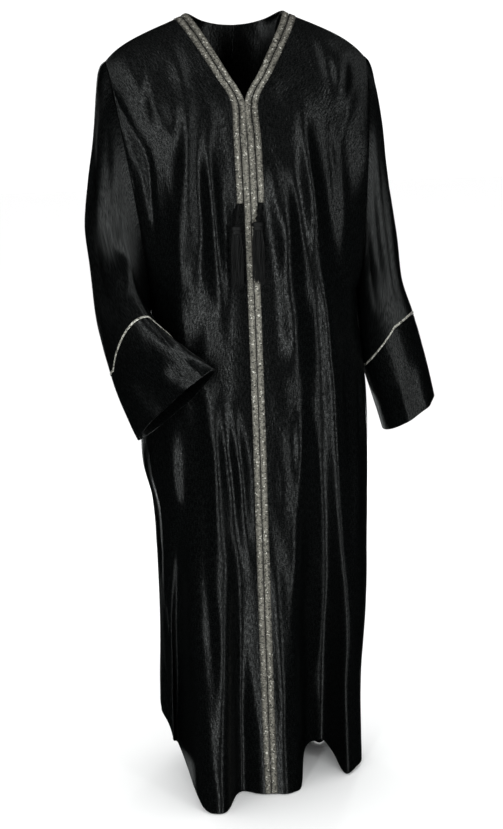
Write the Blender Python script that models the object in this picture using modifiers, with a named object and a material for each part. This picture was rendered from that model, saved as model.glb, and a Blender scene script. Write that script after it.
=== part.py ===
"""An abaya: an open black satin over-garment that falls from the shoulders to the ankle.

It is worn, with one arm bent across the front and the other hanging, and it is hollow.
Metres, +Z up, the front faces -Y and the wearer's left is +X. The origin is midway between
the two neck points, where the shoulder seams meet the neckline, so heights run down from it.
"""

import math
from collections import namedtuple

import bpy
import numpy as np
from mathutils import Matrix

# Lengths of the garment, in metres
LENGTH = 1.42
NECK_HALF_WIDTH = 0.085
V_DEPTH = 0.155
V_FORWARD = 0.105
BACK_NECK_DROP = 0.020
BACK_NECK_BEHIND = 0.030
SHOULDER_RADIUS = 0.10
SHOULDER_FALL = 0.13
SHOULDER_SLOPE_SHARE = 0.76
SHOULDER_TIP_POWER = 6
UNDERARM = 0.50
PLACKET_FOOT = 0.33
SECTION_POWER = 0.8

# Thicknesses and gaps, in metres
WALL = 0.002
SEAM_GAP = 0.0003
SHOULDER_GAP = 0.0012
SIDE_GAP = 0.0016
LIFT = 0.0003
SEAM_LIFT = 0.0003
BRAID_WIDTH = 0.0123
BRAID_THICKNESS = 0.0013
BRAID_INSET = 0.0003
PIPING_HALF_WIDTH = 0.0025
PIPING_THICKNESS = 0.0016
PIPING_LIFT = 0.0006

# Tassels, in metres
TASSEL_STRANDS = (7, 3)
STRAND_SPACING = (0.0033, 0.0036)
STRAND_THICKNESS = 0.0021
STRAND_LENGTH = 0.098
HEAD_HEIGHT = 0.016
ROOT_SHARE = 0.55
CORD_RADIUS = 0.0019
KNOT_RADIUS = 0.0046
KNOTS = ((0.42, 0.16), (0.80, 0.13))
TASSEL_STAND_OFF = 0.0105
CORD_STAND_OFF = 0.0016

# Grid counts
NECK_COLUMNS = 3
BACK_SIDE_COLUMNS = 7
SIDE_COLUMNS = 17
SKIRT_ROWS = 15
PLACKET_ROWS = 3
SLEEVE_ROWS = 10
CUFF_ROWS = 6
CORD_ROWS = 12
CORD_SIDES = 8

# The two sides of the garment, as the sign of X: the wearer's right is -X
RIGHT, LEFT = -1, 1

# Tassels: where each cord leaves the braid, and where the tassel hangs
Hang = namedtuple("Hang", "cord_x x cord_down head_down")
TASSELS = {
    RIGHT: Hang(-0.0220, -0.0285, 0.332, 0.368),
    LEFT: Hang(0.0175, 0.0090, 0.332, 0.362),
}

# Down the armhole, from the shoulder tip at 0 degrees to the underarm at 180
ARMHOLE_ANGLES = np.radians([0, 6, 18, 36, 54, 72, 90, 108, 126, 144, 162, 174, 180])
# Down the V neckline, as shares of a quarter turn
V_FRACTIONS = (0, 0.067, 0.2, 0.4, 0.6, 0.8, 1.0)
V_ROWS = len(V_FRACTIONS) - 1
# How the rows below the V fall towards the armhole
ROW_POWER = 2.2
# How far each row of the back has turned over the shoulder, from flat on top to upright
BACK_TURNS = np.radians([0, 3.5, 7, 14, 26, 42, 62, 90])

Armhole = namedtuple("Armhole", "top_x top_down foot_x foot_down half_depth")
ARMHOLES = {
    RIGHT: Armhole(-0.234, 0.078, -0.172, UNDERARM, 0.085),
    LEFT: Armhole(0.233, 0.083, 0.207, UNDERARM, 0.085),
}

# Sections of the body: the two side seams, and the fronts and the back on the centre line
Section = namedtuple("Section", "down right left front back")
SECTIONS = (
    Section(0.155, -0.20, 0.22, -0.105, 0.104),
    Section(0.230, -0.20, 0.22, -0.129, 0.110),
    Section(0.310, -0.20, 0.22, -0.141, 0.112),
    Section(0.400, -0.19, 0.21, -0.145, 0.110),
    Section(0.500, -0.172, 0.207, -0.148, 0.108),
    Section(0.560, -0.176, 0.207, -0.150, 0.110),
    Section(0.650, -0.186, 0.218, -0.151, 0.116),
    Section(0.750, -0.197, 0.221, -0.152, 0.122),
    Section(0.850, -0.202, 0.218, -0.149, 0.122),
    Section(0.950, -0.185, 0.216, -0.146, 0.120),
    Section(1.100, -0.182, 0.212, -0.143, 0.117),
    Section(1.250, -0.183, 0.199, -0.144, 0.116),
    Section(1.420, -0.189, 0.197, -0.152, 0.120),
)

# Hem height across each panel: across is 0 on the centre line and 1 at the side seam
HemPoint = namedtuple("HemPoint", "across down")
FRONT_HEM = {
    RIGHT: (
        HemPoint(0, 1.42),
        HemPoint(0.68, 1.42),
        HemPoint(0.79, 1.375),
        HemPoint(0.90, 1.335),
        HemPoint(1, 1.285),
    ),
    LEFT: (
        HemPoint(0, 1.42),
        HemPoint(0.34, 1.42),
        HemPoint(0.45, 1.385),
        HemPoint(0.67, 1.385),
        HemPoint(0.74, 1.42),
        HemPoint(1, 1.41),
    ),
}
BACK_HEM = {
    RIGHT: (HemPoint(0, 1.42), HemPoint(0.35, 1.42), HemPoint(0.70, 1.365), HemPoint(1, 1.285)),
    LEFT: (HemPoint(0, 1.42), HemPoint(0.7, 1.42), HemPoint(1, 1.41)),
}

# Folds: from top to foot the ridge or valley drifts between two places across the garment.
# It reaches its whole shift at full. A negative shift stands out of the front, a positive
# one out of the back. A high edge gives steep flanks.
Fold = namedtuple("Fold", "name top foot top_x foot_x width shift full edge")
FRONT_FOLDS = (
    Fold("right knee lobe", 0.80, LENGTH, -0.088, -0.1165, 0.043, -0.083, 1.40, 4),
    Fold("right side valley", 0.86, LENGTH, -0.142, -0.160, 0.012, 0.100, 1.40, 3),
    Fold("centre right valley", 0.95, LENGTH, -0.045, -0.050, 0.022, 0.020, 1.38, 2),
    Fold("left deep recess", 0.70, LENGTH, 0.108, 0.1065, 0.039, 0.135, 1.42, 4),
    Fold("left side ease", 0.90, LENGTH, 0.172, 0.176, 0.022, 0.020, 1.40, 2),
    Fold("right chest ridge", 0.12, 0.74, -0.098, -0.140, 0.016, -0.010, 0.25, 2),
    Fold("right bust ridge", 0.17, 0.56, -0.074, -0.058, 0.014, -0.008, 0.30, 2),
    Fold("left bust ridge", 0.24, 0.72, 0.050, 0.080, 0.018, -0.010, 0.42, 2),
    Fold("left armhole ridge", 0.14, 0.64, 0.098, 0.137, 0.015, -0.009, 0.26, 2),
    Fold("left long ridge", 0.42, 1.10, 0.131, 0.150, 0.016, -0.014, 0.60, 2),
    Fold("left hip ridge", 0.62, 1.12, 0.079, 0.066, 0.013, -0.010, 0.80, 2),
    Fold("right hip ridge", 0.60, 1.02, -0.086, -0.080, 0.016, -0.010, 0.76, 2),
    Fold("right inner ridge", 0.64, 1.02, -0.047, -0.025, 0.012, -0.007, 0.78, 2),
    Fold("right side ridge", 0.66, 1.04, -0.152, -0.166, 0.013, -0.009, 0.80, 2),
    Fold("left side ridge", 0.74, 1.12, 0.188, 0.180, 0.012, -0.009, 0.86, 2),
    Fold("left shin ridge", 0.88, LENGTH, 0.022, 0.030, 0.015, -0.008, 1.10, 2),
)
BACK_FOLDS = (
    Fold("right seat ridge", 0.22, LENGTH, -0.128, -0.148, 0.020, 0.022, 1.20, 2),
    Fold("right seat valley", 0.45, LENGTH, -0.098, -0.108, 0.015, -0.034, 1.35, 2),
    Fold("right back ridge", 0.20, LENGTH, -0.052, -0.064, 0.022, 0.024, 1.20, 2),
    Fold("left of centre valley", 0.40, LENGTH, 0.056, 0.060, 0.014, -0.036, 1.35, 2),
    Fold("left back ridge", 0.24, LENGTH, 0.092, 0.096, 0.019, 0.026, 1.20, 2),
    Fold("left seat valley", 0.50, LENGTH, 0.124, 0.128, 0.014, -0.030, 1.35, 2),
    Fold("left seat ridge", 0.26, LENGTH, 0.154, 0.160, 0.019, 0.016, 1.20, 2),
)
# A fold that ends above the hem fades out over this length
FOLD_FADE = 0.16

# Rings of the sleeves, armhole to cuff hem: the outer point of each ring, its inner point,
# and how far its front stands out of the middle of the line between them
Ring = namedtuple("Ring", "outer inner front")
SLEEVES = {
    RIGHT: (
        Ring((-0.234, 0, -0.078), (-0.172, 0, -0.500), (0, -0.085, 0)),
        Ring((-0.248, -0.001, -0.104), (-0.178, -0.012, -0.508), (-0.006, -0.085, 0.008)),
        Ring((-0.260, -0.002, -0.220), (-0.186, -0.037, -0.515), (-0.014, -0.082, 0.024)),
        Ring((-0.269, -0.004, -0.360), (-0.191, -0.077, -0.522), (-0.022, -0.060, 0.054)),
        Ring((-0.271, -0.014, -0.460), (-0.184, -0.122, -0.532), (-0.028, -0.041, 0.045)),
        Ring((-0.267, -0.044, -0.550), (-0.164, -0.168, -0.546), (-0.026, -0.030, 0.028)),
        Ring((-0.253, -0.090, -0.620), (-0.136, -0.206, -0.566), (-0.024, -0.026, 0.013)),
        Ring((-0.236, -0.120, -0.680), (-0.108, -0.226, -0.588), (-0.023, -0.023, 0.006)),
        Ring((-0.2135, -0.160, -0.735), (-0.087, -0.250, -0.604), (-0.018, -0.018, 0)),
    ),
    LEFT: (
        Ring((0.233, 0, -0.083), (0.207, 0, -0.500), (0, -0.085, 0)),
        Ring((0.246, 0, -0.113), (0.210, 0, -0.506), (0, -0.086, 0)),
        Ring((0.256, 0, -0.240), (0.2120, 0, -0.518), (0, -0.085, 0)),
        Ring((0.271, 0, -0.360), (0.2140, 0, -0.542), (0, -0.080, 0)),
        Ring((0.291, 0, -0.480), (0.2185, 0, -0.588), (0, -0.073, 0)),
        Ring((0.314, 0, -0.553), (0.2265, 0, -0.645), (0, -0.068, 0)),
        Ring((0.335, 0, -0.630), (0.241, 0, -0.708), (0, -0.067, 0)),
        Ring((0.352, 0, -0.708), (0.257, 0, -0.772), (0, -0.067, 0)),
    ),
}

# Cuff seams: the ring they lie on, and the point that rises up the outside of the arm
CuffSeam = namedtuple("CuffSeam", "ring rise point_angle point_width")
CUFF_SEAMS = {
    RIGHT: CuffSeam(6.15, 1.55, math.radians(148), math.radians(105)),
    LEFT: CuffSeam(5.02, 0.38, math.radians(84), math.radians(80)),
}
# Half the gap at a cuff seam, in rings, and the first short row beside it, in rows
CUFF_SEAM_GAP = 0.008
SEAM_ROW = 0.16

# Soft folds of the sleeves: along is in rings, around in degrees from the outer line
SleeveFold = namedtuple("SleeveFold", "along around long wide shift")
SLEEVE_FOLDS = {
    RIGHT: (
        SleeveFold(1.6, 60, 1.2, 22, 0.008),
        SleeveFold(2.4, 110, 1.0, 20, -0.008),
        SleeveFold(3.2, 40, 0.8, 24, 0.008),
        SleeveFold(3.0, 300, 1.0, 24, 0.007),
    ),
    LEFT: (
        SleeveFold(1.6, 55, 1.3, 20, 0.007),
        SleeveFold(2.3, 100, 1.2, 18, -0.007),
        SleeveFold(2.0, 290, 1.2, 24, 0.008),
        SleeveFold(2.8, 35, 0.9, 20, 0.006),
    ),
}

# Finishes, as linear colour, roughness and metallic
Finish = namedtuple("Finish", "colour roughness metallic")
FINISHES = {
    "black_satin": Finish((0.006, 0.007, 0.007, 1), 0.38, 0.0),
    "glitter_braid": Finish((0.26, 0.25, 0.22, 1), 0.35, 0.7),
    "black_tassel": Finish((0.005, 0.005, 0.005, 1), 0.6, 0.0),
}


def clear_scene():
    for thing in list(bpy.data.objects):
        bpy.data.objects.remove(thing)


def make_materials():
    made = {}
    for name, finish in FINISHES.items():
        material = bpy.data.materials.new(name)
        material.use_nodes = True
        shader = material.node_tree.nodes["Principled BSDF"]
        shader.inputs["Base Color"].default_value = finish.colour
        shader.inputs["Roughness"].default_value = finish.roughness
        shader.inputs["Metallic"].default_value = finish.metallic
        made[name] = material
    return made


def smoothstep(value):
    """Rises from 0 to 1 with level ends: 3t squared less 2t cubed, with t held to 0..1."""
    held = np.clip(value, 0.0, 1.0)
    return held * held * (3 - 2 * held)


def column(table, name):
    return np.array([getattr(row, name) for row in table], float)


def through(values, at):
    """A Catmull-Rom curve through equally spaced rows of values, read at the row numbers at."""
    values = np.asarray(values, float)
    last = len(values) - 1
    at = np.clip(np.asarray(at, float), 0, last)
    lower = np.minimum(at.astype(int), last - 1)
    part = (at - lower).reshape(at.shape + (1,) * (values.ndim - 1))
    before, after = values[np.maximum(lower - 1, 0)], values[np.minimum(lower + 2, last)]
    here, there = values[lower], values[lower + 1]
    slope_here, slope_there = (there - before) / 2, (after - here) / 2
    square, cube = part**2, part**3
    return (
        here * (2 * cube - 3 * square + 1)
        + slope_here * (cube - 2 * square + part)
        + there * (3 * square - 2 * cube)
        + slope_there * (cube - square)
    )


def shoulder_fall(across):
    """Share of the shoulder's fall: a straight slope, and a quick drop near the tip."""
    return SHOULDER_SLOPE_SHARE * across + (1 - SHOULDER_SLOPE_SHARE) * across**SHOULDER_TIP_POWER


def section_value(name, down):
    """One column of SECTIONS, read at heights down the garment."""
    rows = np.interp(down, column(SECTIONS, "down"), np.arange(len(SECTIONS)))
    return through(column(SECTIONS, name), rows)


def fold_shift(folds, x, down):
    """The sum of all folds: shift, times a rise from top to full, times a bell across."""
    total = np.zeros(np.broadcast(x, down).shape)
    for fold in folds:
        share = (down - fold.top) / (fold.foot - fold.top)
        place = fold.top_x + (fold.foot_x - fold.top_x) * np.clip(share, 0, 1)
        rise = smoothstep((down - fold.top) / (fold.full - fold.top))
        if fold.foot < LENGTH:
            rise = rise * (1 - smoothstep((down - fold.foot + FOLD_FADE) / FOLD_FADE))
        total = total + fold.shift * rise * np.exp(-np.abs((x - place) / fold.width) ** fold.edge)
    return total


def armhole_line(side, behind):
    """Points down the armhole edge: half an ellipse from the shoulder tip to the underarm."""
    hole = ARMHOLES[side]
    turn = (1 - np.cos(ARMHOLE_ANGLES)) / 2
    x = hole.top_x + (hole.foot_x - hole.top_x) * turn
    y = behind * hole.half_depth * np.sin(ARMHOLE_ANGLES)
    z = -(hole.top_down + (hole.foot_down - hole.top_down) * turn)
    return x, y, z


def skirt_rows():
    return np.arange(1, SKIRT_ROWS + 1) / SKIRT_ROWS


def hem_height(hem, across):
    return np.interp(across, column(hem, "across"), column(hem, "down"))


def front_grid(side):
    """Rows run from the shoulder seam to the hem, columns from the front edge outwards.

    Each row is a quarter of a squared ellipse from its front edge to the armhole or side seam.
    The upper rows fan between the V neckline and the armhole, and folds shift the depth.
    """
    arm_x, arm_y, arm_z = armhole_line(side, -1)
    v = np.array(V_FRACTIONS) * math.pi / 2
    below_v = np.linspace(V_DEPTH, PLACKET_FOOT, PLACKET_ROWS + 1)[1:]
    to_underarm = np.linspace(PLACKET_FOOT, UNDERARM, len(arm_x) - len(v) - PLACKET_ROWS + 1)[1:]
    edge_down = np.concatenate([V_DEPTH * (1 - np.cos(v)), below_v, to_underarm])
    half_gap = side * SEAM_GAP / 2
    edge_x = half_gap + side * NECK_HALF_WIDTH * np.clip(1 - edge_down / V_DEPTH, 0, 1)
    edge_y = section_value("front", edge_down)
    edge_y[: len(v)] = -V_FORWARD * np.sin(v)

    level = UNDERARM + (LENGTH - UNDERARM) * skirt_rows()
    side_name = "right" if side == RIGHT else "left"
    edge_x = np.concatenate([edge_x, np.full(SKIRT_ROWS, half_gap)])[:, None]
    edge_y = np.concatenate([edge_y, section_value("front", level)])[:, None]
    out_x = np.concatenate([arm_x, section_value(side_name, level)])[:, None]
    out_y = np.concatenate([arm_y, np.zeros(SKIRT_ROWS)])[:, None]

    width = np.abs(out_x - edge_x)
    braid_edges = np.arange(3) * BRAID_WIDTH / width
    turn_at_braid = np.arcsin(braid_edges ** (1 / SECTION_POWER))
    rest = np.arange(1, SIDE_COLUMNS + 1) / SIDE_COLUMNS
    turn_rest = turn_at_braid[:, -1:] + (math.pi / 2 - turn_at_braid[:, -1:]) * rest
    turn = np.concatenate([turn_at_braid, turn_rest], axis=1)
    across = np.sin(turn) ** SECTION_POWER
    x = edge_x + (out_x - edge_x) * across
    y = out_y + (edge_y - out_y) * np.clip(np.cos(turn), 0, 1) ** SECTION_POWER

    upper = across[: len(arm_x)]
    level_off = smoothstep(np.arange(len(arm_x)) / V_ROWS)[:, None]
    fall = shoulder_fall(upper) + (upper**ROW_POWER - shoulder_fall(upper)) * level_off
    top_z = -edge_down[:, None] + (arm_z[:, None] + edge_down[:, None]) * fall
    hem = hem_height(FRONT_HEM[side], across[len(arm_x) :])
    skirt_z = -(UNDERARM + (hem - UNDERARM) * skirt_rows()[:, None])
    z = np.concatenate([top_z, skirt_z])

    y = y + fold_shift(FRONT_FOLDS, x, -z) * (1 - across**10)
    grid = np.stack([x, y, z], axis=2)
    grid[0, :, 1] -= SHOULDER_GAP / 2
    grid[len(arm_x) - 1 :, -1, 1] -= SIDE_GAP / 2
    return grid


def back_turns(side):
    """The turn of each back column on one side, from the centre line to the armhole."""
    top_x = abs(ARMHOLES[side].top_x)
    neck = np.linspace(0, NECK_HALF_WIDTH, NECK_COLUMNS + 1)
    braid = NECK_HALF_WIDTH + BRAID_WIDTH * np.array([1, 2])
    fixed = np.arcsin((np.concatenate([neck, braid]) / top_x) ** (1 / SECTION_POWER))
    rest = np.arange(1, BACK_SIDE_COLUMNS + 1) / BACK_SIDE_COLUMNS
    return np.concatenate([fixed, fixed[-1] + (math.pi / 2 - fixed[-1]) * rest])


def half_back_grid(side):
    """The back on one side of the centre line, shoulder seam and neckline to hem.

    Near the neck each column turns over the shoulder as a quarter ellipse. Towards the armhole
    it blends to the armhole's own half ellipse. Below the underarm the rows are like the front's.
    """
    arm_x, arm_y, arm_z = armhole_line(side, 1)
    rows = len(arm_x)
    turn = back_turns(side)
    across = np.sin(turn) ** SECTION_POWER
    level = UNDERARM + (LENGTH - UNDERARM) * skirt_rows()
    side_name = "right" if side == RIGHT else "left"
    out_x = np.concatenate([arm_x, section_value(side_name, level)])[:, None]
    x = out_x * across

    first_x = np.abs(x[0])
    in_neck = np.clip(first_x / NECK_HALF_WIDTH, 0, 1)
    past_neck = np.clip((first_x - NECK_HALF_WIDTH) / (abs(arm_x[0]) - NECK_HALF_WIDTH), 0, 1)
    seam_down = ARMHOLES[side].top_down * shoulder_fall(past_neck)
    top_down = BACK_NECK_DROP * (1 - in_neck**2) + seam_down
    top_y = BACK_NECK_BEHIND * np.sqrt(1 - in_neck**2)

    turned = len(BACK_TURNS)
    over = np.concatenate([BACK_TURNS, np.full(rows - turned, math.pi / 2)])[:, None]
    reach = SHOULDER_RADIUS - top_y
    lean = np.sqrt(1 - (reach / SHOULDER_RADIUS) ** 2)
    slant = SHOULDER_RADIUS * lean * over * (1 - over / math.pi)
    neck_down = top_down + SHOULDER_FALL * (1 - np.cos(over)) + slant
    below = np.clip((np.arange(rows) - turned + 1) / (rows - turned), 0, 1)[:, None]
    neck_down = neck_down + (UNDERARM - neck_down) * below
    settled = section_value("back", neck_down) - SHOULDER_RADIUS
    neck_y = top_y + reach * np.sin(over) + settled * smoothstep(below + np.sin(over) ** 4 / 2)

    blend = smoothstep((first_x - NECK_HALF_WIDTH) / (abs(arm_x[0]) - NECK_HALF_WIDTH))
    upper_y = neck_y + (arm_y[:, None] - neck_y) * blend
    neck_share = (neck_down - top_down) / (UNDERARM - top_down)
    arm_share = (arm_z[0] - arm_z[:, None]) / (UNDERARM + arm_z[0])
    upper_z = -top_down - (UNDERARM - top_down) * (neck_share + (arm_share - neck_share) * blend)

    depth_share = np.clip(np.cos(turn), 0, 1) ** SECTION_POWER
    underarm_row = section_value("back", np.array([UNDERARM])) * depth_share
    to_underarm = np.linspace(0, 1, rows)[:, None] ** 2
    upper_y = upper_y + (underarm_row - upper_y[-1]) * to_underarm
    skirt_y = section_value("back", level)[:, None] * depth_share
    hem = hem_height(BACK_HEM[side], across)
    skirt_z = -(UNDERARM + (hem - UNDERARM) * skirt_rows()[:, None])
    y = np.concatenate([upper_y, skirt_y])
    z = np.concatenate([upper_z, skirt_z])

    y = y + fold_shift(BACK_FOLDS, x, -z) * (1 - across**10)
    grid = np.stack([x, y, z], axis=2)
    past = first_x >= NECK_HALF_WIDTH * 0.99
    grid[0, past, 1] += SHOULDER_GAP / 2
    grid[rows - 1 :, -1, 1] += SIDE_GAP / 2
    return grid


def back_grid():
    right, left = half_back_grid(RIGHT), half_back_grid(LEFT)
    return np.concatenate([right[:, :0:-1], left], axis=1)


def ring_angles():
    """Angles round a sleeve: down the front of the armhole, then up its back."""
    return np.concatenate([ARMHOLE_ANGLES, 2 * math.pi - ARMHOLE_ANGLES[-2:0:-1]])


def ring_points(side, along, angle):
    """A point of the sleeve: an ellipse on each ring's outer-to-inner line and its front."""
    rings = SLEEVES[side]
    outer = through([ring.outer for ring in rings], along)
    inner = through([ring.inner for ring in rings], along)
    front = through([ring.front for ring in rings], along)
    cosine, sine = np.cos(angle)[..., None], np.sin(angle)[..., None]
    points = (outer + inner) / 2 + (outer - inner) / 2 * cosine + front * sine
    away = (outer - inner) / 2 * cosine + front * sine
    away = away / np.linalg.norm(away, axis=-1, keepdims=True)
    degrees = np.degrees(angle)
    push = np.zeros(degrees.shape)
    for fold in SLEEVE_FOLDS[side]:
        along_bell = np.exp(-(((along - fold.along) / fold.long) ** 2))
        around_gap = (degrees - fold.around + 180) % 360 - 180
        push = push + fold.shift * along_bell * np.exp(-((around_gap / fold.wide) ** 2))
    ends = smoothstep(along) * smoothstep(CUFF_SEAMS[side].ring - along)
    return points + away * (push * ends)[..., None]


def cuff_seam_along(side, angle):
    """Where the cuff seam crosses each angle: a ring with a tent-shaped point on the outside."""
    seam = CUFF_SEAMS[side]
    gap = np.abs((angle - seam.point_angle + math.pi) % (2 * math.pi) - math.pi)
    return seam.ring - seam.rise * np.clip(1 - gap / seam.point_width, 0, 1)


def sleeve_grids(side):
    """The sleeve and the cuff as two grids that share the cuff seam."""
    angle = ring_angles()
    seam = cuff_seam_along(side, angle)
    rows = np.arange(SLEEVE_ROWS + 1) / SLEEVE_ROWS
    rows = np.sort(np.append(rows, 1 - SEAM_ROW / SLEEVE_ROWS))[:, None]
    along = (seam - CUFF_SEAM_GAP) * rows
    sleeve = ring_points(side, along, np.broadcast_to(angle, along.shape))
    sleeve[0, :, 0] += side * 2 * SEAM_GAP
    rows = np.arange(CUFF_ROWS + 1) / CUFF_ROWS
    rows = np.sort(np.append(rows, SEAM_ROW / CUFF_ROWS))[:, None]
    last = len(SLEEVES[side]) - 1
    along = seam + CUFF_SEAM_GAP + (last - seam - CUFF_SEAM_GAP) * rows
    cuff = ring_points(side, along, np.broadcast_to(angle, along.shape))
    return sleeve, cuff


def grid_normals(grid, closed=False):
    """Outward unit normals: the cross product of the slopes along the columns and the rows."""
    padded = np.concatenate([grid[:, -1:], grid, grid[:, :1]], axis=1) if closed else grid
    across = np.gradient(padded, axis=1)
    across = across[:, 1:-1] if closed else across
    normals = np.cross(across, np.gradient(grid, axis=0))
    return normals / np.linalg.norm(normals, axis=2, keepdims=True)


def add_sheet(name, points, faces, thickness, offset, material, collection):
    """An open sheet with its thickness from Solidify: offset -1 goes inwards, 1 outwards."""
    mesh = bpy.data.meshes.new(name)
    mesh.from_pydata(np.asarray(points).reshape(-1, 3).tolist(), [], [tuple(face) for face in faces])
    mesh.materials.append(material)
    mesh.shade_smooth()
    sheet = bpy.data.objects.new(name, mesh)
    collection.objects.link(sheet)
    wall = sheet.modifiers.new("wall", "SOLIDIFY")
    wall.thickness = thickness
    wall.offset = offset


def grid_faces(rows, columns, closed=False, flip=False):
    """Two triangles for each cell of the grid, always cut along the same diagonal."""
    last = columns if closed else columns - 1
    row, across = np.meshgrid(np.arange(rows - 1), np.arange(last), indexing="ij")
    beside = (across + 1) % columns
    a, b = row * columns + across, row * columns + beside
    c, d = (row + 1) * columns + beside, (row + 1) * columns + across
    faces = np.stack([np.stack([a, b, c], -1), np.stack([a, c, d], -1)]).reshape(-1, 3)
    return faces[:, ::-1] if flip else faces


def add_panel(name, grid, flip, material, collection):
    faces = grid_faces(grid.shape[0], grid.shape[1], flip=flip)
    add_sheet(name, grid, faces, WALL, -1, material, collection)


def half_of(grid, part):
    """The front or the back half of a closed sleeve or cuff, cut along its over-arm and underarm
    lines. Each cut edge is drawn back along its own facets, to half the seam's gap."""
    middle = len(ARMHOLE_ANGLES) - 1
    if part == "front":
        half = grid[:, : middle + 1].copy()
    else:
        half = np.concatenate([grid[:, middle:], grid[:, :1]], axis=1)
    for edge, beside in ((0, 1), (-1, -2)):
        facet = half[:, beside] - half[:, edge]
        half[:, edge] += SEAM_GAP / 2 * facet / np.linalg.norm(facet, axis=1, keepdims=True)
    return half


def add_halves(name, grid, side, material, collection):
    """A closed sleeve or cuff as two walls. The inner face of each lies WALL inside the whole
    tube's normals, so the two walls meet squarely at the seams."""
    inner = grid - WALL * side * grid_normals(grid, closed=True)
    flip = side == RIGHT
    for part in ("front", "back"):
        faces_out, faces_in = half_of(grid, part), half_of(inner, part)
        rows, columns = faces_out.shape[:2]
        count = rows * columns
        number = np.arange(count).reshape(rows, columns)
        rim = np.concatenate([number[0], number[1:, -1], number[-1, -2::-1], number[-2:0:-1, 0]])
        following = np.roll(rim, -1)
        wall = np.stack([rim, rim + count, following + count, following], axis=1)
        wall = wall[:, ::-1] if flip else wall
        faces = grid_faces(rows, columns, flip=flip).tolist()
        faces += (grid_faces(rows, columns, flip=not flip) + count).tolist()
        mesh = bpy.data.meshes.new("_".join((name, part)))
        points = np.concatenate([faces_out, faces_in]).reshape(-1, 3)
        mesh.from_pydata(points.tolist(), [], faces + wall.tolist())
        mesh.materials.append(material)
        mesh.shade_smooth()
        collection.objects.link(bpy.data.objects.new(mesh.name, mesh))


def braid_faces(fronts, back, edge, foot_row, back_rows):
    """Points and faces of one braid: up the right front, round the back neck, down the left.

    edge is the braid's first column on a front. On the back it covers back_rows across the neck,
    and an outer braid also runs down beside the neck from the shoulder seam to those rows.
    """
    middle = back.shape[1] // 2
    neck = NECK_COLUMNS + edge
    points, faces, number = [], [], {}

    def corner(panel, row, col):
        if panel == "back" and row == 0 and abs(col) >= NECK_COLUMNS:
            panel, col = (LEFT if col > 0 else RIGHT), abs(col) - NECK_COLUMNS
        key = (panel, row, col)
        if key not in number:
            number[key] = len(points)
            point = back[row, middle + col] if panel == "back" else fronts[panel][row, col]
            if panel != "back" and row == 0:
                over_seam = back[0, middle + panel * (NECK_COLUMNS + col)]
                point = (point + over_seam) / 2 + (0, 0, SEAM_LIFT)
            points.append(point)
        return number[key]

    def cell(panel, row, col, flip):
        a, b = corner(panel, row, col), corner(panel, row, col + 1)
        c, d = corner(panel, row + 1, col + 1), corner(panel, row + 1, col)
        for face in ((a, b, c), (a, c, d)):
            faces.append(face[::-1] if flip else face)

    for side in (RIGHT, LEFT):
        for row in range(foot_row):
            cell(side, row, edge, side == LEFT)
    first, last = back_rows
    for row in range(first, last):
        for col in range(-neck - 1, neck + 1):
            cell("back", row, col, False)
    for row in range(first):
        cell("back", row, neck, False)
        cell("back", row, -neck - 1, False)
    return points, faces


def drawn_in(points, faces, by):
    """The sheet with each edge point moved by this much into it, square to the edge."""
    points = np.array(points)
    edges = {}
    for face in faces:
        for first, second in ((face[0], face[1]), (face[1], face[2]), (face[2], face[0])):
            key = (min(first, second), max(first, second))
            edges[key] = edges.get(key, []) + [face]
    pull = np.zeros(points.shape)
    for (first, second), around in edges.items():
        if len(around) == 2:
            continue
        along = points[second] - points[first]
        along = along / np.linalg.norm(along)
        inward = points[list(around[0])].mean(axis=0) - points[first]
        inward = inward - along * (inward @ along)
        inward = inward / np.linalg.norm(inward)
        pull[first] += inward
        pull[second] += inward
    size = np.linalg.norm(pull, axis=1, keepdims=True)
    return points + by * pull / np.maximum(size, 1)


def piping_sheet(sleeve, cuff):
    """A closed strip of three rows over the cuff seam, each on its wall's own facets, moved out."""
    onto_sleeve = sleeve[-2] - sleeve[-1]
    onto_cuff = cuff[1] - cuff[0]
    onto_sleeve = onto_sleeve / np.linalg.norm(onto_sleeve, axis=1, keepdims=True)
    onto_cuff = onto_cuff / np.linalg.norm(onto_cuff, axis=1, keepdims=True)
    rows = (
        sleeve[-1] + PIPING_HALF_WIDTH * onto_sleeve,
        (sleeve[-1] + cuff[0]) / 2,
        cuff[0] + PIPING_HALF_WIDTH * onto_cuff,
    )
    return np.stack(rows)


def strand(x, y, top, length, thickness):
    """Corners and faces of one four-sided strand, a little narrower at its foot."""
    square = ((-1, -1), (1, -1), (1, 1), (-1, 1))
    ends = ((top, thickness / 2), (top - length, thickness * 0.4))
    corners = [(x + half * i, y + half * j, z) for z, half in ends for i, j in square]
    faces = [(0, 1, 2, 3), (7, 6, 5, 4)]
    faces += [(4 + i, 4 + (i + 1) % 4, (i + 1) % 4, i) for i in range(4)]
    return corners, faces


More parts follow.
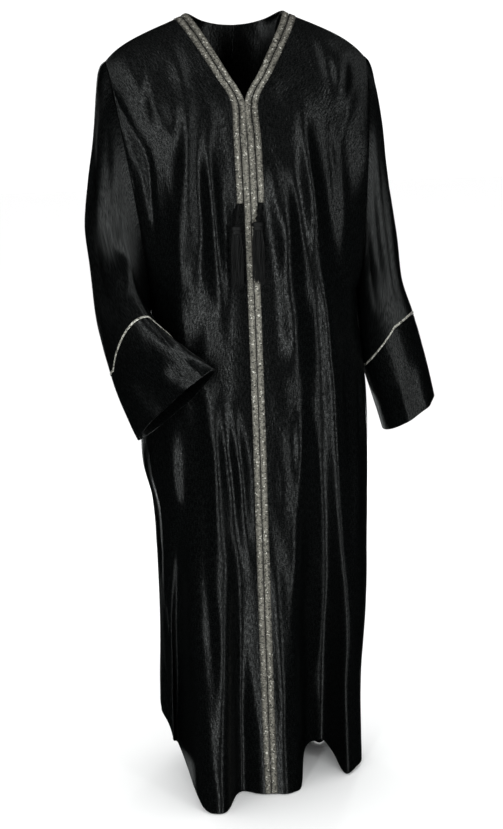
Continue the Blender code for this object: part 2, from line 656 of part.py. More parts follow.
def add_tassel(name, x, y, top, material, collection, guides):
    """A tassel: an egg-shaped head with rows of separate strands rooted in its underside."""
    bpy.ops.mesh.primitive_uv_sphere_add(segments=12, ring_count=8, radius=1, location=(0, 0, 0))
    head = bpy.context.object
    head.name = name
    across, deep = TASSEL_STRANDS
    half_size = (across * STRAND_SPACING[0] / 2, deep * STRAND_SPACING[1] / 2, HEAD_HEIGHT / 2)
    head.data.transform(Matrix.Diagonal((*half_size, 1)))
    head.data.transform(Matrix.Translation((x, y, top - half_size[2])))
    head.data.materials.append(material)
    for owner in list(head.users_collection):
        owner.objects.unlink(head)
    collection.objects.link(head)

    points, faces = [], []
    root = top - HEAD_HEIGHT * ROOT_SHARE
    for i in range(across):
        for j in range(deep):
            place_x = x + (i - (across - 1) / 2) * STRAND_SPACING[0]
            place_y = y + (j - (deep - 1) / 2) * STRAND_SPACING[1]
            length = STRAND_LENGTH + 0.006 * math.sin(5.1 * i + 2.3 * j + 90 * x)
            corners, sides = strand(place_x, place_y, root, length, STRAND_THICKNESS)
            faces += [tuple(len(points) + index for index in face) for face in sides]
            points += corners
    mesh = bpy.data.meshes.new(name + "_strands")
    mesh.from_pydata(points, [], faces)
    strands = bpy.data.objects.new(name + "_strands", mesh)
    guides.objects.link(strands)
    strands.hide_render = True
    strands.display_type = "WIRE"
    join = head.modifiers.new("strands", "BOOLEAN")
    join.operation = "UNION"
    join.object = strands


def add_cord(name, start, end, material, collection):
    """A cord with knots: its radius swells as a bell at each knot on the way down."""
    share = np.linspace(0, 1, CORD_ROWS + 1)[:, None]
    angle = np.arange(CORD_SIDES) * 2 * math.pi / CORD_SIDES
    bells = [np.exp(-(((share - place) / width) ** 2)) for place, width in KNOTS]
    radius = CORD_RADIUS + (KNOT_RADIUS - CORD_RADIUS) * np.maximum(*bells)
    line = np.array(start) + (np.array(end) - np.array(start)) * share
    x = line[:, :1] + radius * np.cos(angle)
    y = line[:, 1:2] + 0.75 * radius * np.sin(angle)
    z = np.broadcast_to(line[:, 2:], x.shape)
    points = np.stack([x, y, z], axis=2).reshape(-1, 3)
    faces = grid_faces(CORD_ROWS + 1, CORD_SIDES, closed=True, flip=True).tolist()
    foot = CORD_ROWS * CORD_SIDES
    faces += [list(range(CORD_SIDES)), list(range(foot, foot + CORD_SIDES))[::-1]]
    mesh = bpy.data.meshes.new(name)
    mesh.from_pydata(points.tolist(), [], faces)
    mesh.materials.append(material)
    mesh.shade_smooth()
    collection.objects.link(bpy.data.objects.new(name, mesh))


def main():
    clear_scene()
    materials = make_materials()
    satin, braid, tassel = (materials[name] for name in FINISHES)
    abaya = bpy.data.collections.new("abaya")
    guides = bpy.data.collections.new("guides")
    bpy.context.scene.collection.children.link(abaya)
    bpy.context.scene.collection.children.link(guides)

    placket_row = V_ROWS + PLACKET_ROWS
    fronts = {}
    for side, name in ((RIGHT, "right"), (LEFT, "left")):
        front = front_grid(side)
        fronts[side] = front - side * LIFT * grid_normals(front)
        add_panel("front_" + name, front, side == LEFT, satin, abaya)

        sleeve, cuff = sleeve_grids(side)
        add_halves("sleeve_" + name, sleeve, side, satin, abaya)
        add_halves("cuff_" + name, cuff, side, satin, abaya)

        seam = piping_sheet(sleeve, cuff)
        seam = seam + PIPING_LIFT * side * grid_normals(seam, closed=True)
        faces = grid_faces(len(seam), seam.shape[1], closed=True, flip=side == RIGHT)
        add_sheet("piping_" + name, seam, faces, PIPING_THICKNESS, 1, braid, abaya)

        hang = TASSELS[side]
        start_y = fronts[side][placket_row, 1:3, 1].mean() - CORD_STAND_OFF
        start = (hang.cord_x, start_y, -hang.cord_down)
        foot_y = section_value("front", np.array([hang.head_down + STRAND_LENGTH]))[0]
        y = foot_y - TASSEL_STAND_OFF
        add_cord("tassel_cord_" + name, start, (hang.x, y, SEAM_GAP - hang.head_down), tassel, abaya)
        add_tassel("tassel_" + name, hang.x, y, -hang.head_down, tassel, abaya, guides)

    back = back_grid()
    middle = back.shape[1] // 2
    back_right, back_left = back[:, : middle + 1].copy(), back[:, middle:].copy()
    back_right[:, -1, 0] -= SEAM_GAP
    back_left[:, 0, 0] += SEAM_GAP
    add_panel("back_right", back_right, False, satin, abaya)
    add_panel("back_left", back_left, False, satin, abaya)
    lifted_back = back + LIFT * grid_normals(back)
    hem_row = len(ARMHOLE_ANGLES) - 1 + SKIRT_ROWS
    for name, edge, foot_row, back_rows in (
        ("braid_inner", 0, hem_row, (0, 2)),
        ("braid_outer", 1, placket_row, (2, 3)),
    ):
        points, faces = braid_faces(fronts, lifted_back, edge, foot_row, back_rows)
        points = drawn_in(points, faces, BRAID_INSET)
        add_sheet(name, points, faces, BRAID_THICKNESS, 1, braid, abaya)


main()
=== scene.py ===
"""Looks of the abaya: a black satin over-garment, hollow, one sleeve bent across the front.

Every cloth piece is a surface over a table of points, read on a fine grid: a cubic curve runs
through the table's rows and columns, the large folds shift it in depth, and creases push it out or
in along its own normal. The tables are those of the solids, apart from the inner sides of the
sleeves, which lie nearer the body here.
Metres, +Z up, the front faces -Y and the wearer's left is +X.
"""

import math
from collections import namedtuple

import bpy
import numpy as np
from mathutils import Matrix, Vector


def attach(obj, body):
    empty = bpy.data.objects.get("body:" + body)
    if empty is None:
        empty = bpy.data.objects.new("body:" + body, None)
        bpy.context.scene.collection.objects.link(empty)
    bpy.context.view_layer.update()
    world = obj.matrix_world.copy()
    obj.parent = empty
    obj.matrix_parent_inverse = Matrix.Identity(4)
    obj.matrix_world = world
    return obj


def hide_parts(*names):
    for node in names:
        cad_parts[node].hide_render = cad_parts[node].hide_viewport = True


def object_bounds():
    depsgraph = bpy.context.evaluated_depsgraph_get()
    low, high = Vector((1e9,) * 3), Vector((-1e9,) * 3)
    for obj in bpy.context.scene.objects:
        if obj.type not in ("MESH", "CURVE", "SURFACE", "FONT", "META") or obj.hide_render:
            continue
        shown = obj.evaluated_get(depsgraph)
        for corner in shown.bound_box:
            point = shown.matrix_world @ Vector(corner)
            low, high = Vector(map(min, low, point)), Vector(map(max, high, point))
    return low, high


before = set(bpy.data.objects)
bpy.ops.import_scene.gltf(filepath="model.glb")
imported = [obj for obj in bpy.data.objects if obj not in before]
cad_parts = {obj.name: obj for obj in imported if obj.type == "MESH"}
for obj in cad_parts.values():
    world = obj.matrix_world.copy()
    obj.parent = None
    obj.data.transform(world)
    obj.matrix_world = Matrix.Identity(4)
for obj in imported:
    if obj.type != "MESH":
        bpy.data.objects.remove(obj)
cad_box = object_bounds()

RIGHT, LEFT = -1, 1
SIDE_NAMES = {RIGHT: "right", LEFT: "left"}
# The way out of each body panel along y
OUTWARD = {"front": -1, "back": 1}

# Sizes of the cut, in metres
LENGTH = 1.42
NECK_HALF_WIDTH = 0.085
V_DEPTH = 0.155
V_FORWARD = 0.105
BACK_NECK_DROP = 0.020
BACK_NECK_BEHIND = 0.030
SHOULDER_RADIUS = 0.10
SHOULDER_FALL = 0.13
SHOULDER_SLOPE_SHARE = 0.76
SHOULDER_TIP_POWER = 6
UNDERARM = 0.50
PLACKET_FOOT = 0.33
BRAID_WIDTH = 0.0123
CLOTH = 0.0014
SEAM_GAP = 0.0003
SEAM_OVERLAP = 0.0002

# Rows and columns of the body's tables, and how squarely its sections and upper rows bend
V_FRACTIONS = (0, 0.067, 0.2, 0.4, 0.6, 0.8, 1.0)
V_ROWS = len(V_FRACTIONS) - 1
PLACKET_ROWS = 3
PLACKET_ROW = V_ROWS + PLACKET_ROWS
ARMHOLE_ANGLES = np.radians([0, 6, 18, 36, 54, 72, 90, 108, 126, 144, 162, 174, 180])
ARM_ROWS = len(ARMHOLE_ANGLES) - 1
SKIRT_ROWS = 15
SKIRT_SHARES = np.arange(1, SKIRT_ROWS + 1) / SKIRT_ROWS
SKIRT_LEVELS = UNDERARM + (LENGTH - UNDERARM) * SKIRT_SHARES
HEM_ROW = ARM_ROWS + SKIRT_ROWS
BACK_TURNS = np.radians([0, 3.5, 7, 14, 26, 42, 62, 90])
NECK_COLUMNS = 3
SIDE_COLUMNS = 17
BACK_SIDE_COLUMNS = 7
LAST_COLUMN = {"front": 2 + SIDE_COLUMNS, "back": NECK_COLUMNS + 2 + BACK_SIDE_COLUMNS}
SECTION_POWER = 0.8
ROW_POWER = 2.2


def named_rows(columns, *rows):
    """A table: its rows, each with its columns named."""
    row_kind = namedtuple("row_kind", columns)
    return [row_kind(*row) for row in rows]


Armhole = namedtuple("Armhole", "top_x top_down foot_x foot_down half_depth")
ARMHOLES = {
    RIGHT: Armhole(-0.234, 0.078, -0.172, UNDERARM, 0.085),
    LEFT: Armhole(0.233, 0.083, 0.207, UNDERARM, 0.085),
}

# Sections of the body: the two side seams, and the fronts and the back on the centre line
SECTIONS = named_rows(
    "down right left front back",
    (0.155, -0.20, 0.22, -0.105, 0.104),
    (0.230, -0.20, 0.22, -0.129, 0.110),
    (0.310, -0.20, 0.22, -0.141, 0.112),
    (0.400, -0.19, 0.21, -0.145, 0.110),
    (0.500, -0.172, 0.207, -0.148, 0.108),
    (0.560, -0.176, 0.207, -0.150, 0.110),
    (0.650, -0.186, 0.218, -0.151, 0.116),
    (0.750, -0.197, 0.221, -0.152, 0.122),
    (0.850, -0.202, 0.218, -0.149, 0.122),
    (0.950, -0.185, 0.216, -0.146, 0.120),
    (1.100, -0.182, 0.212, -0.143, 0.117),
    (1.250, -0.183, 0.199, -0.144, 0.116),
    (1.420, -0.189, 0.197, -0.152, 0.120),
)

# Hem height across each panel: across is 0 on the centre line and 1 at the side seam
HEM = "across down"
FRONT_HEM = {
    RIGHT: named_rows(HEM, (0, LENGTH), (0.68, LENGTH), (0.79, 1.375), (0.90, 1.335), (1, 1.285)),
    LEFT: named_rows(
        HEM, (0, LENGTH), (0.34, LENGTH), (0.45, 1.385), (0.67, 1.385), (0.74, LENGTH), (1, 1.41)
    ),
}
BACK_HEM = {
    RIGHT: named_rows(HEM, (0, LENGTH), (0.35, LENGTH), (0.70, 1.365), (1, 1.285)),
    LEFT: named_rows(HEM, (0, LENGTH), (0.7, LENGTH), (1, 1.41)),
}

# Folds: from top to foot the ridge or valley drifts between two places across the garment.
# It reaches its whole shift at full. A negative shift stands out of the front, a positive
# one out of the back. A high edge gives steep flanks.
FOLD = "name top foot top_x foot_x width shift full edge"
FRONT_FOLDS = named_rows(
    FOLD,
    ("right knee lobe", 0.80, LENGTH, -0.088, -0.1165, 0.043, -0.083, 1.40, 4),
    ("right side valley", 0.86, LENGTH, -0.142, -0.160, 0.012, 0.100, 1.40, 3),
    ("centre right valley", 0.95, LENGTH, -0.045, -0.050, 0.022, 0.020, 1.38, 2),
    ("left deep recess", 0.70, LENGTH, 0.108, 0.1065, 0.039, 0.135, 1.42, 4),
    ("left side ease", 0.90, LENGTH, 0.172, 0.176, 0.022, 0.020, 1.40, 2),
    ("right chest ridge", 0.12, 0.74, -0.098, -0.140, 0.016, -0.010, 0.25, 2),
    ("right bust ridge", 0.17, 0.56, -0.074, -0.058, 0.014, -0.008, 0.30, 2),
    ("left bust ridge", 0.24, 0.72, 0.050, 0.080, 0.018, -0.010, 0.42, 2),
    ("left armhole ridge", 0.14, 0.64, 0.098, 0.137, 0.015, -0.009, 0.26, 2),
    ("left long ridge", 0.42, 1.10, 0.131, 0.150, 0.016, -0.014, 0.60, 2),
    ("left hip ridge", 0.62, 1.12, 0.079, 0.066, 0.013, -0.010, 0.80, 2),
    ("right hip ridge", 0.60, 1.02, -0.086, -0.080, 0.016, -0.010, 0.76, 2),
    ("right inner ridge", 0.64, 1.02, -0.047, -0.025, 0.012, -0.007, 0.78, 2),
    ("right side ridge", 0.66, 1.04, -0.152, -0.166, 0.013, -0.009, 0.80, 2),
    ("left side ridge", 0.74, 1.12, 0.188, 0.180, 0.012, -0.009, 0.86, 2),
    ("left shin ridge", 0.88, LENGTH, 0.022, 0.030, 0.015, -0.008, 1.10, 2),
)
BACK_FOLDS = named_rows(
    FOLD,
    ("right seat ridge", 0.22, LENGTH, -0.128, -0.148, 0.020, 0.022, 1.20, 2),
    ("right seat valley", 0.45, LENGTH, -0.098, -0.108, 0.015, -0.034, 1.35, 2),
    ("right back ridge", 0.20, LENGTH, -0.052, -0.064, 0.022, 0.024, 1.20, 2),
    ("left of centre valley", 0.40, LENGTH, 0.056, 0.060, 0.014, -0.036, 1.35, 2),
    ("left back ridge", 0.24, LENGTH, 0.092, 0.096, 0.019, 0.026, 1.20, 2),
    ("left seat valley", 0.50, LENGTH, 0.124, 0.128, 0.014, -0.030, 1.35, 2),
    ("left seat ridge", 0.26, LENGTH, 0.154, 0.160, 0.019, 0.016, 1.20, 2),
)
# A fold that ends above the hem fades out over this length
FOLD_FADE = 0.16

# Rings of the sleeves, armhole to cuff hem: the outer point of each ring, its inner point, and how
# far its front stands out of the middle of the line between them. Some inner points are up to 12 mm
# nearer the body than the solids', so that no light shows between sleeve and body
RING = "outer inner front"
SLEEVES = {
    RIGHT: named_rows(
        RING,
        ((-0.234, 0, -0.078), (-0.172, 0, -0.500), (0, -0.085, 0)),
        ((-0.248, -0.001, -0.104), (-0.1735, -0.012, -0.508), (-0.006, -0.085, 0.008)),
        ((-0.260, -0.002, -0.220), (-0.177, -0.037, -0.515), (-0.014, -0.082, 0.024)),
        ((-0.269, -0.004, -0.360), (-0.182, -0.077, -0.522), (-0.022, -0.060, 0.054)),
        ((-0.271, -0.014, -0.460), (-0.172, -0.122, -0.532), (-0.028, -0.041, 0.045)),
        ((-0.267, -0.044, -0.550), (-0.160, -0.168, -0.546), (-0.026, -0.030, 0.028)),
        ((-0.253, -0.090, -0.620), (-0.136, -0.206, -0.566), (-0.024, -0.026, 0.013)),
        ((-0.236, -0.120, -0.680), (-0.108, -0.226, -0.588), (-0.023, -0.023, 0.006)),
        ((-0.2135, -0.160, -0.735), (-0.087, -0.250, -0.604), (-0.018, -0.018, 0)),
    ),
    LEFT: named_rows(
        RING,
        ((0.233, 0, -0.083), (0.207, 0, -0.500), (0, -0.085, 0)),
        ((0.246, 0, -0.113), (0.210, 0, -0.506), (0, -0.086, 0)),
        ((0.256, 0, -0.240), (0.2105, 0, -0.518), (0, -0.085, 0)),
        ((0.271, 0, -0.360), (0.2110, 0, -0.542), (0, -0.080, 0)),
        ((0.291, 0, -0.480), (0.2145, 0, -0.588), (0, -0.073, 0)),
        ((0.314, 0, -0.553), (0.2205, 0, -0.645), (0, -0.068, 0)),
        ((0.335, 0, -0.630), (0.2385, 0, -0.708), (0, -0.067, 0)),
        ((0.352, 0, -0.708), (0.257, 0, -0.772), (0, -0.067, 0)),
    ),
}
LAST_RING = {side: len(rings) - 1 for side, rings in SLEEVES.items()}

# Cuff seams: the ring that one lies on, how many rings its point rises above that, the angle of
# the point from the arm's outer line round by the front, and half the point's width
CuffSeam = namedtuple("CuffSeam", "ring rise point_angle point_width")
CUFF_SEAMS = {
    RIGHT: CuffSeam(6.15, 1.55, math.radians(148), math.radians(105)),
    LEFT: CuffSeam(5.02, 0.38, math.radians(84), math.radians(80)),
}
# Half the gap at a cuff seam, in rings
CUFF_SEAM_GAP = 0.008

# Soft folds of the sleeves: along is in rings, around in degrees from the outer line
SLEEVE_FOLD = "along around long wide shift"
SLEEVE_FOLDS = {
    RIGHT: named_rows(
        SLEEVE_FOLD,
        (1.6, 60, 1.2, 22, 0.008),
        (2.4, 110, 1.0, 20, -0.008),
        (3.2, 40, 0.8, 24, 0.008),
        (3.0, 300, 1.0, 24, 0.007),
    ),
    LEFT: named_rows(
        SLEEVE_FOLD,
        (1.6, 55, 1.3, 20, 0.007),
        (2.3, 100, 1.2, 18, -0.007),
        (2.0, 290, 1.2, 24, 0.008),
        (2.8, 35, 0.9, 20, 0.006),
    ),
}

# Creases that are only in the looks: a path of (x, down) places, half width, push out of the cloth
# in metres, and how much steeper the flank on the wearer's left (+X) is than the other
CREASE = "path width push lean"
FRONT_CREASES = named_rows(
    CREASE,
    # Shoulders: folds that fall from the shoulder seam
    (((-0.205, 0.05), (-0.192, 0.10), (-0.186, 0.17)), 0.018, 0.0050, 0.3),
    (((-0.165, 0.06), (-0.158, 0.12), (-0.150, 0.24)), 0.017, 0.0040, -0.3),
    (((-0.128, 0.03), (-0.112, 0.09), (-0.108, 0.16)), 0.017, 0.0040, 0.2),
    (((0.112, 0.02), (0.132, 0.09), (0.150, 0.17)), 0.017, 0.0045, 0.3),
    (((0.148, 0.04), (0.166, 0.10), (0.172, 0.19)), 0.016, 0.0054, -0.3),
    (((0.186, 0.06), (0.178, 0.12), (0.174, 0.19)), 0.016, 0.0050, 0.3),
    # Chest and waist
    (((-0.110, 0.20), (-0.124, 0.32), (-0.132, 0.44), (-0.130, 0.64)), 0.016, 0.0063, 0.4),
    (((-0.078, 0.16), (-0.070, 0.26), (-0.060, 0.44)), 0.022, 0.0045, 0.2),
    (((-0.092, 0.25), (-0.090, 0.38), (-0.098, 0.52)), 0.013, -0.0034, 0.0),
    (((0.040, 0.24), (0.040, 0.33), (0.044, 0.42)), 0.013, 0.0040, 0.2),
    (((0.056, 0.26), (0.066, 0.38), (0.086, 0.50)), 0.017, 0.0058, 0.3),
    (((0.098, 0.17), (0.098, 0.26), (0.118, 0.38), (0.136, 0.46)), 0.018, 0.0063, 0.3),
    (((0.082, 0.22), (0.086, 0.33), (0.100, 0.43)), 0.013, -0.0034, 0.0),
    (((0.165, 0.24), (0.168, 0.32), (0.166, 0.45)), 0.020, 0.0054, -0.3),
    (((0.136, 0.44), (0.146, 0.62), (0.154, 0.78), (0.160, 0.98)), 0.016, 0.0063, 0.4),
    (((0.070, 0.46), (0.074, 0.56), (0.078, 0.66)), 0.030, 0.0045, 0.1),
    # Hips and thighs
    (((-0.082, 0.66), (-0.074, 0.80), (-0.064, 0.94)), 0.018, 0.0058, 0.3),
    (((-0.042, 0.70), (-0.030, 0.80), (-0.018, 0.90)), 0.016, 0.0040, 0.2),
    (((-0.148, 0.70), (-0.150, 0.82), (-0.152, 0.90)), 0.016, 0.0045, 0.2),
    (((0.086, 0.74), (0.092, 0.86), (0.094, 0.98)), 0.017, 0.0050, 0.2),
    (((0.036, 0.72), (0.042, 0.82), (0.040, 0.94)), 0.016, 0.0036, -0.2),
    (((0.178, 0.70), (0.184, 0.86), (0.178, 0.98)), 0.016, 0.0050, 0.3),
    (((0.112, 0.66), (0.116, 0.84), (0.108, 1.00)), 0.016, -0.0038, 0.0),
    # Skirt
    (((-0.078, 0.94), (-0.070, 1.10), (-0.066, 1.30)), 0.020, 0.0058, 0.2),
    (((-0.104, 0.98), (-0.102, 1.12), (-0.104, 1.26)), 0.016, -0.0041, 0.0),
    (((-0.036, 1.04), (-0.030, 1.18), (-0.026, 1.34)), 0.016, 0.0054, 0.3),
    (((0.044, 0.96), (0.048, 1.12), (0.044, 1.30)), 0.017, 0.0058, 0.2),
    (((0.086, 0.98), (0.090, 1.10), (0.096, 1.20)), 0.017, 0.0054, 0.2),
    (((0.066, 1.00), (0.068, 1.12), (0.070, 1.26)), 0.013, -0.0038, 0.0),
    (((0.160, 0.96), (0.166, 1.10), (0.168, 1.30)), 0.017, 0.0054, 0.3),
    (((-0.136, 0.94), (-0.140, 1.08), (-0.142, 1.24)), 0.016, 0.0045, 0.2),
    (((0.020, 1.10), (0.026, 1.22), (0.030, 1.36)), 0.013, 0.0040, -0.2),
)
BACK_CREASES = named_rows(
    CREASE,
    (((-0.118, 0.05), (-0.130, 0.14), (-0.136, 0.26)), 0.020, 0.0050, 0.2),
    (((0.126, 0.05), (0.138, 0.15), (0.140, 0.28)), 0.020, 0.0050, -0.2),
    (((-0.052, 0.06), (-0.040, 0.16), (-0.030, 0.30)), 0.022, 0.0040, 0.2),
    (((0.040, 0.07), (0.036, 0.17), (0.022, 0.32)), 0.020, 0.0036, -0.2),
    (((-0.080, 0.22), (-0.090, 0.40), (-0.094, 0.66)), 0.018, 0.0058, 0.3),
    (((-0.020, 0.30), (-0.016, 0.50), (-0.022, 0.78)), 0.017, 0.0054, -0.2),
    (((0.072, 0.24), (0.078, 0.42), (0.074, 0.70)), 0.018, 0.0058, 0.2),
    (((0.128, 0.36), (0.140, 0.52), (0.146, 0.82)), 0.017, 0.0054, 0.3),
    (((-0.140, 0.40), (-0.146, 0.56), (-0.150, 0.86)), 0.017, 0.0054, -0.3),
    (((-0.104, 0.72), (-0.108, 0.92), (-0.112, 1.28)), 0.017, 0.0054, 0.2),
    (((-0.034, 0.84), (-0.036, 1.02), (-0.040, 1.34)), 0.017, 0.0058, 0.2),
    (((0.026, 0.80), (0.030, 1.00), (0.030, 1.32)), 0.016, 0.0054, -0.2),
    (((0.108, 0.76), (0.110, 0.98), (0.112, 1.30)), 0.017, 0.0058, 0.2),
    (((0.168, 0.84), (0.172, 1.02), (0.170, 1.30)), 0.016, 0.0050, 0.2),
)
# Creases of the sleeves and cuffs: places are (degrees round the arm, rings along it)
ARM_CREASE = "path width push"
ARM_CREASES = {
    RIGHT: named_rows(
        ARM_CREASE,
        (((40, 0.4), (52, 1.4), (70, 2.6), (84, 3.8)), 11, 0.0070),
        (((66, 0.6), (82, 1.6), (104, 2.8)), 9, 0.0055),
        (((96, 1.0), (112, 2.0), (128, 3.2), (132, 4.2)), 10, 0.0060),
        (((22, 1.6), (30, 2.8), (44, 4.2)), 10, 0.0055),
        (((58, 3.0), (66, 4.0), (80, 5.2)), 11, -0.0050),
        (((120, 3.2), (112, 4.2), (100, 5.4)), 10, 0.0055),
        (((250, 0.8), (262, 2.0), (280, 3.4)), 12, 0.0060),
        (((290, 1.2), (300, 2.4), (316, 4.0)), 11, 0.0060),
        (((220, 1.4), (232, 2.8), (240, 4.4)), 12, 0.0050),
        (((60, 6.4), (66, 7.2), (70, 8.0)), 12, 0.0035),
        (((110, 6.6), (112, 7.4), (118, 8.0)), 12, 0.0030),
        (((250, 6.4), (256, 7.2), (262, 8.0)), 14, 0.0035),
    ),
    LEFT: named_rows(
        ARM_CREASE,
        (((36, 0.4), (44, 1.4), (50, 2.6), (46, 3.8)), 10, 0.0070),
        (((70, 0.6), (76, 1.6), (78, 2.8), (72, 4.0)), 10, 0.0060),
        (((104, 0.8), (106, 2.0), (100, 3.4)), 10, 0.0060),
        (((20, 1.8), (24, 3.0), (20, 4.2)), 9, 0.0050),
        (((124, 1.4), (122, 2.6), (116, 4.0)), 9, -0.0050),
        (((58, 2.4), (60, 3.4), (58, 4.6)), 9, -0.0045),
        (((250, 0.8), (254, 2.0), (260, 3.6)), 12, 0.0060),
        (((290, 1.0), (296, 2.4), (300, 4.0)), 11, 0.0060),
        (((220, 1.6), (226, 2.8), (232, 4.2)), 12, 0.0050),
        (((56, 5.6), (60, 6.2), (62, 7.0)), 12, 0.0045),
        (((100, 5.8), (104, 6.4), (106, 7.0)), 12, 0.0040),
        (((262, 5.6), (266, 6.2), (268, 7.0)), 14, 0.0040),
    ),
}

# Small creases strewn over the body: drift sideways for their length, widths and pushes
STREWN_DRIFT = 0.10
STREWN_WIDTHS = (0.009, 0.020)
STREWN_PUSHES = (0.0008, 0.0026)
# Unevenness of the cloth: its size, its push, and how much more of it the sleeves have
CRUMPLE_SIZE = 0.021
CRUMPLE_PUSH = 0.00045
ARM_CRUMPLE = 1.2
# Share of a crease's length over which each end fades
BODY_CREASE_FADE = 0.5
ARM_CREASE_FADE = 0.4
# Creases are calm over this many rows and columns at seams, and weak under the braid
CALM_ROWS, CALM_COLUMNS = 1.6, 2.2
BRAID_CALM_FROM = 1.2
UNDER_BRAID = 0.25
# The same on the sleeves, in rings, from the armhole and on both sides of the cuff seam
ARM_CALM = 0.5
CUFF_SEAM_CALM = 0.25

# Grid lines between two rows or columns of a body table, and all those of a sleeve and a cuff
UPPER_STEPS, SKIRT_STEPS = 10, 16
UNDER_BRAID_STEPS, FRONT_STEPS, BACK_STEPS = 3, 5, 8
ARM_COLUMNS = 176
ARM_LINES = {"sleeve": 130, "cuff": 56}

# Braid: columns across, distance between stations up the fronts, stations at the shoulder's
# corner and round half the neck, the width of its face, and how long its thin ends are
BRAID_STEPS = 8
BRAID_STEP = 0.0013
CORNER_STATIONS, HALF_NECK_STATIONS = 12, 66
BRAID_FACE = 0.0117
BRAID_END = 0.0015
# Its height over the cloth, of its middle, plaits and edge cords, and their repeats along it
BRAID_LIFT = 0.0003
BRAID_HEIGHT = 0.0009
PLAIT_HEIGHT, PLAIT_LENGTH = 0.00025, 0.0050
EDGE_HEIGHT, EDGE_TWIST_LENGTH = 0.0005, 0.0026
# The underside of braids, and the middle of stitches, over the cloth
UNDERSIDE_LIFT = 0.0002

# Piping: the height of its edges over the cloth, its crown over them, and its underside below them
PIPING_STATIONS = 260
PIPING_HALF_WIDTH = 0.0025
PIPING_EDGE, PIPING_CROWN, PIPING_SUNK = 0.0006, 0.0019, 0.0004

# Stitches of the hems, and the cloth left free before the first and after the last
STITCH_LENGTH, STITCH_STEP, STITCH_RADIUS = 0.0024, 0.0034, 0.0003
FIRST_STITCH, LAST_STITCH = 0.0020, 0.0030

# Tassels: where the cord starts across, where the head hangs, and both heights down the front
Hang = namedtuple("Hang", "cord_x x cord_down head_down")
TASSELS = {RIGHT: Hang(-0.0220, -0.0285, 0.332, 0.368), LEFT: Hang(0.0175, 0.0090, 0.332, 0.362)}
TASSEL_HALF_SIZE = (0.0115, 0.0053)
TASSEL_HEAD = 0.016
TASSEL_STAND_OFF = 0.0105
STRANDS = 62
STRAND_LENGTH = 0.098
STRAND_RADIUS = 0.00085
# How far strands wave sideways and in depth, how much their lengths differ, and the turn from one
# to the next
STRAND_WAVE = (0.0007, 0.0006)
STRAND_UNEVEN = 0.005
GOLDEN_ANGLE = 2.39996
# Cord: the radius of a ply and how far it lies from the cord's middle, how much both grow in a
# knot, and the place and length of the two knots as shares of the cord
PLY_RADIUS, PLY_OUT = 0.0015, 0.0013
KNOT_RADIUS, KNOT_OUT = 0.0009, 0.0026
CORD_KNOTS = ((0.42, 0.11), (0.80, 0.09))
CORD_TURNS = 6
CORD_STAND_OFF = 0.0034
CUT_END_RADIUS = 0.0002

# Camera: turn, pitch and roll in degrees, its distance, its shift to the left and its height
CAMERA_ANGLES = (-7.0, 10.6, 2.0)
CAMERA_AWAY, CAMERA_SHIFT, CAMERA_HEIGHT = 3.0, 0.006, -0.17
# Focal length and height of the photo in pixels, on a sensor in millimetres
FOCAL_PIXELS, PHOTO_HEIGHT_PIXELS, SENSOR = 1632, 829, 36

# The floor's depth under the solids' lowest point
FLOOR_GAP = 0.0022
ROOM_LIGHT = 1.14
LAMP_COLOUR = (0.95, 1.0, 0.99)
# Tall narrow lamps give the satin its long lights, and a wide weak one overhead fills the shoulders
LAMPS = named_rows(
    "name place aim size power",
    ("window_right", (-1.1, -2.8, -0.7), (0, 0, -0.9), (0.24, 2.2), 36),
    ("window_left", (1.3, -2.7, -0.7), (0, 0, -0.9), (0.24, 2.2), 22),
    ("behind_right", (-1.0, 2.9, -0.3), (0, 0, -0.6), (0.2, 2.4), 12),
    ("behind_left", (1.2, 2.8, -0.3), (0, 0, -0.6), (0.2, 2.4), 18),
    ("overhead", (0, -1.0, 2.2), (0, -0.7, -1.4), (2.4, 1.0), 3),
)


def smoothstep(value):
    """Rises from 0 to 1 with level ends: 3t squared less 2t cubed, with t held to 0..1."""
    held = np.clip(value, 0.0, 1.0)
    return held * held * (3 - 2 * held)


def column(table, name):
    """One column of a table, as an array."""
    return np.array([getattr(row, name) for row in table], float)


def unit(vectors):
    """Vectors brought to length 1."""
    return vectors / np.maximum(np.linalg.norm(vectors, axis=-1, keepdims=True), 1e-9)


def lengths_along(points, axis=0):
    """Distances along one axis of an array of points, from 0 at its start."""
    steps = np.linalg.norm(np.diff(points, axis=axis), axis=-1)
    return np.insert(np.cumsum(steps, axis=axis), 0, 0, axis=axis)


def through(values, at):
    """A Catmull-Rom curve through equally spaced rows of values, read at the row numbers at."""
    values = np.asarray(values, float)
    last = len(values) - 1
    at = np.clip(np.asarray(at, float), 0, last)
    lower = np.minimum(at.astype(int), last - 1)
    part = (at - lower).reshape(at.shape + (1,) * (values.ndim - 1))
    before, after = values[np.maximum(lower - 1, 0)], values[np.minimum(lower + 2, last)]
    here, there = values[lower], values[lower + 1]
    slope_here, slope_there = (there - before) / 2, (after - here) / 2
    square, cube = part**2, part**3
    return (
        here * (2 * cube - 3 * square + 1)
        + slope_here * (cube - 2 * square + part)
        + there * (3 * square - 2 * cube)
        + slope_there * (cube - square)
    )


def shoulder_fall(across):
    """Share of the shoulder's fall: a straight slope, and a quick drop near the tip."""
    return SHOULDER_SLOPE_SHARE * across + (1 - SHOULDER_SLOPE_SHARE) * across**SHOULDER_TIP_POWER


def section_value(name, down):
    """One column of SECTIONS, read at heights down the garment."""
    rows = np.interp(down, column(SECTIONS, "down"), np.arange(len(SECTIONS)))
    return through(column(SECTIONS, name), rows)


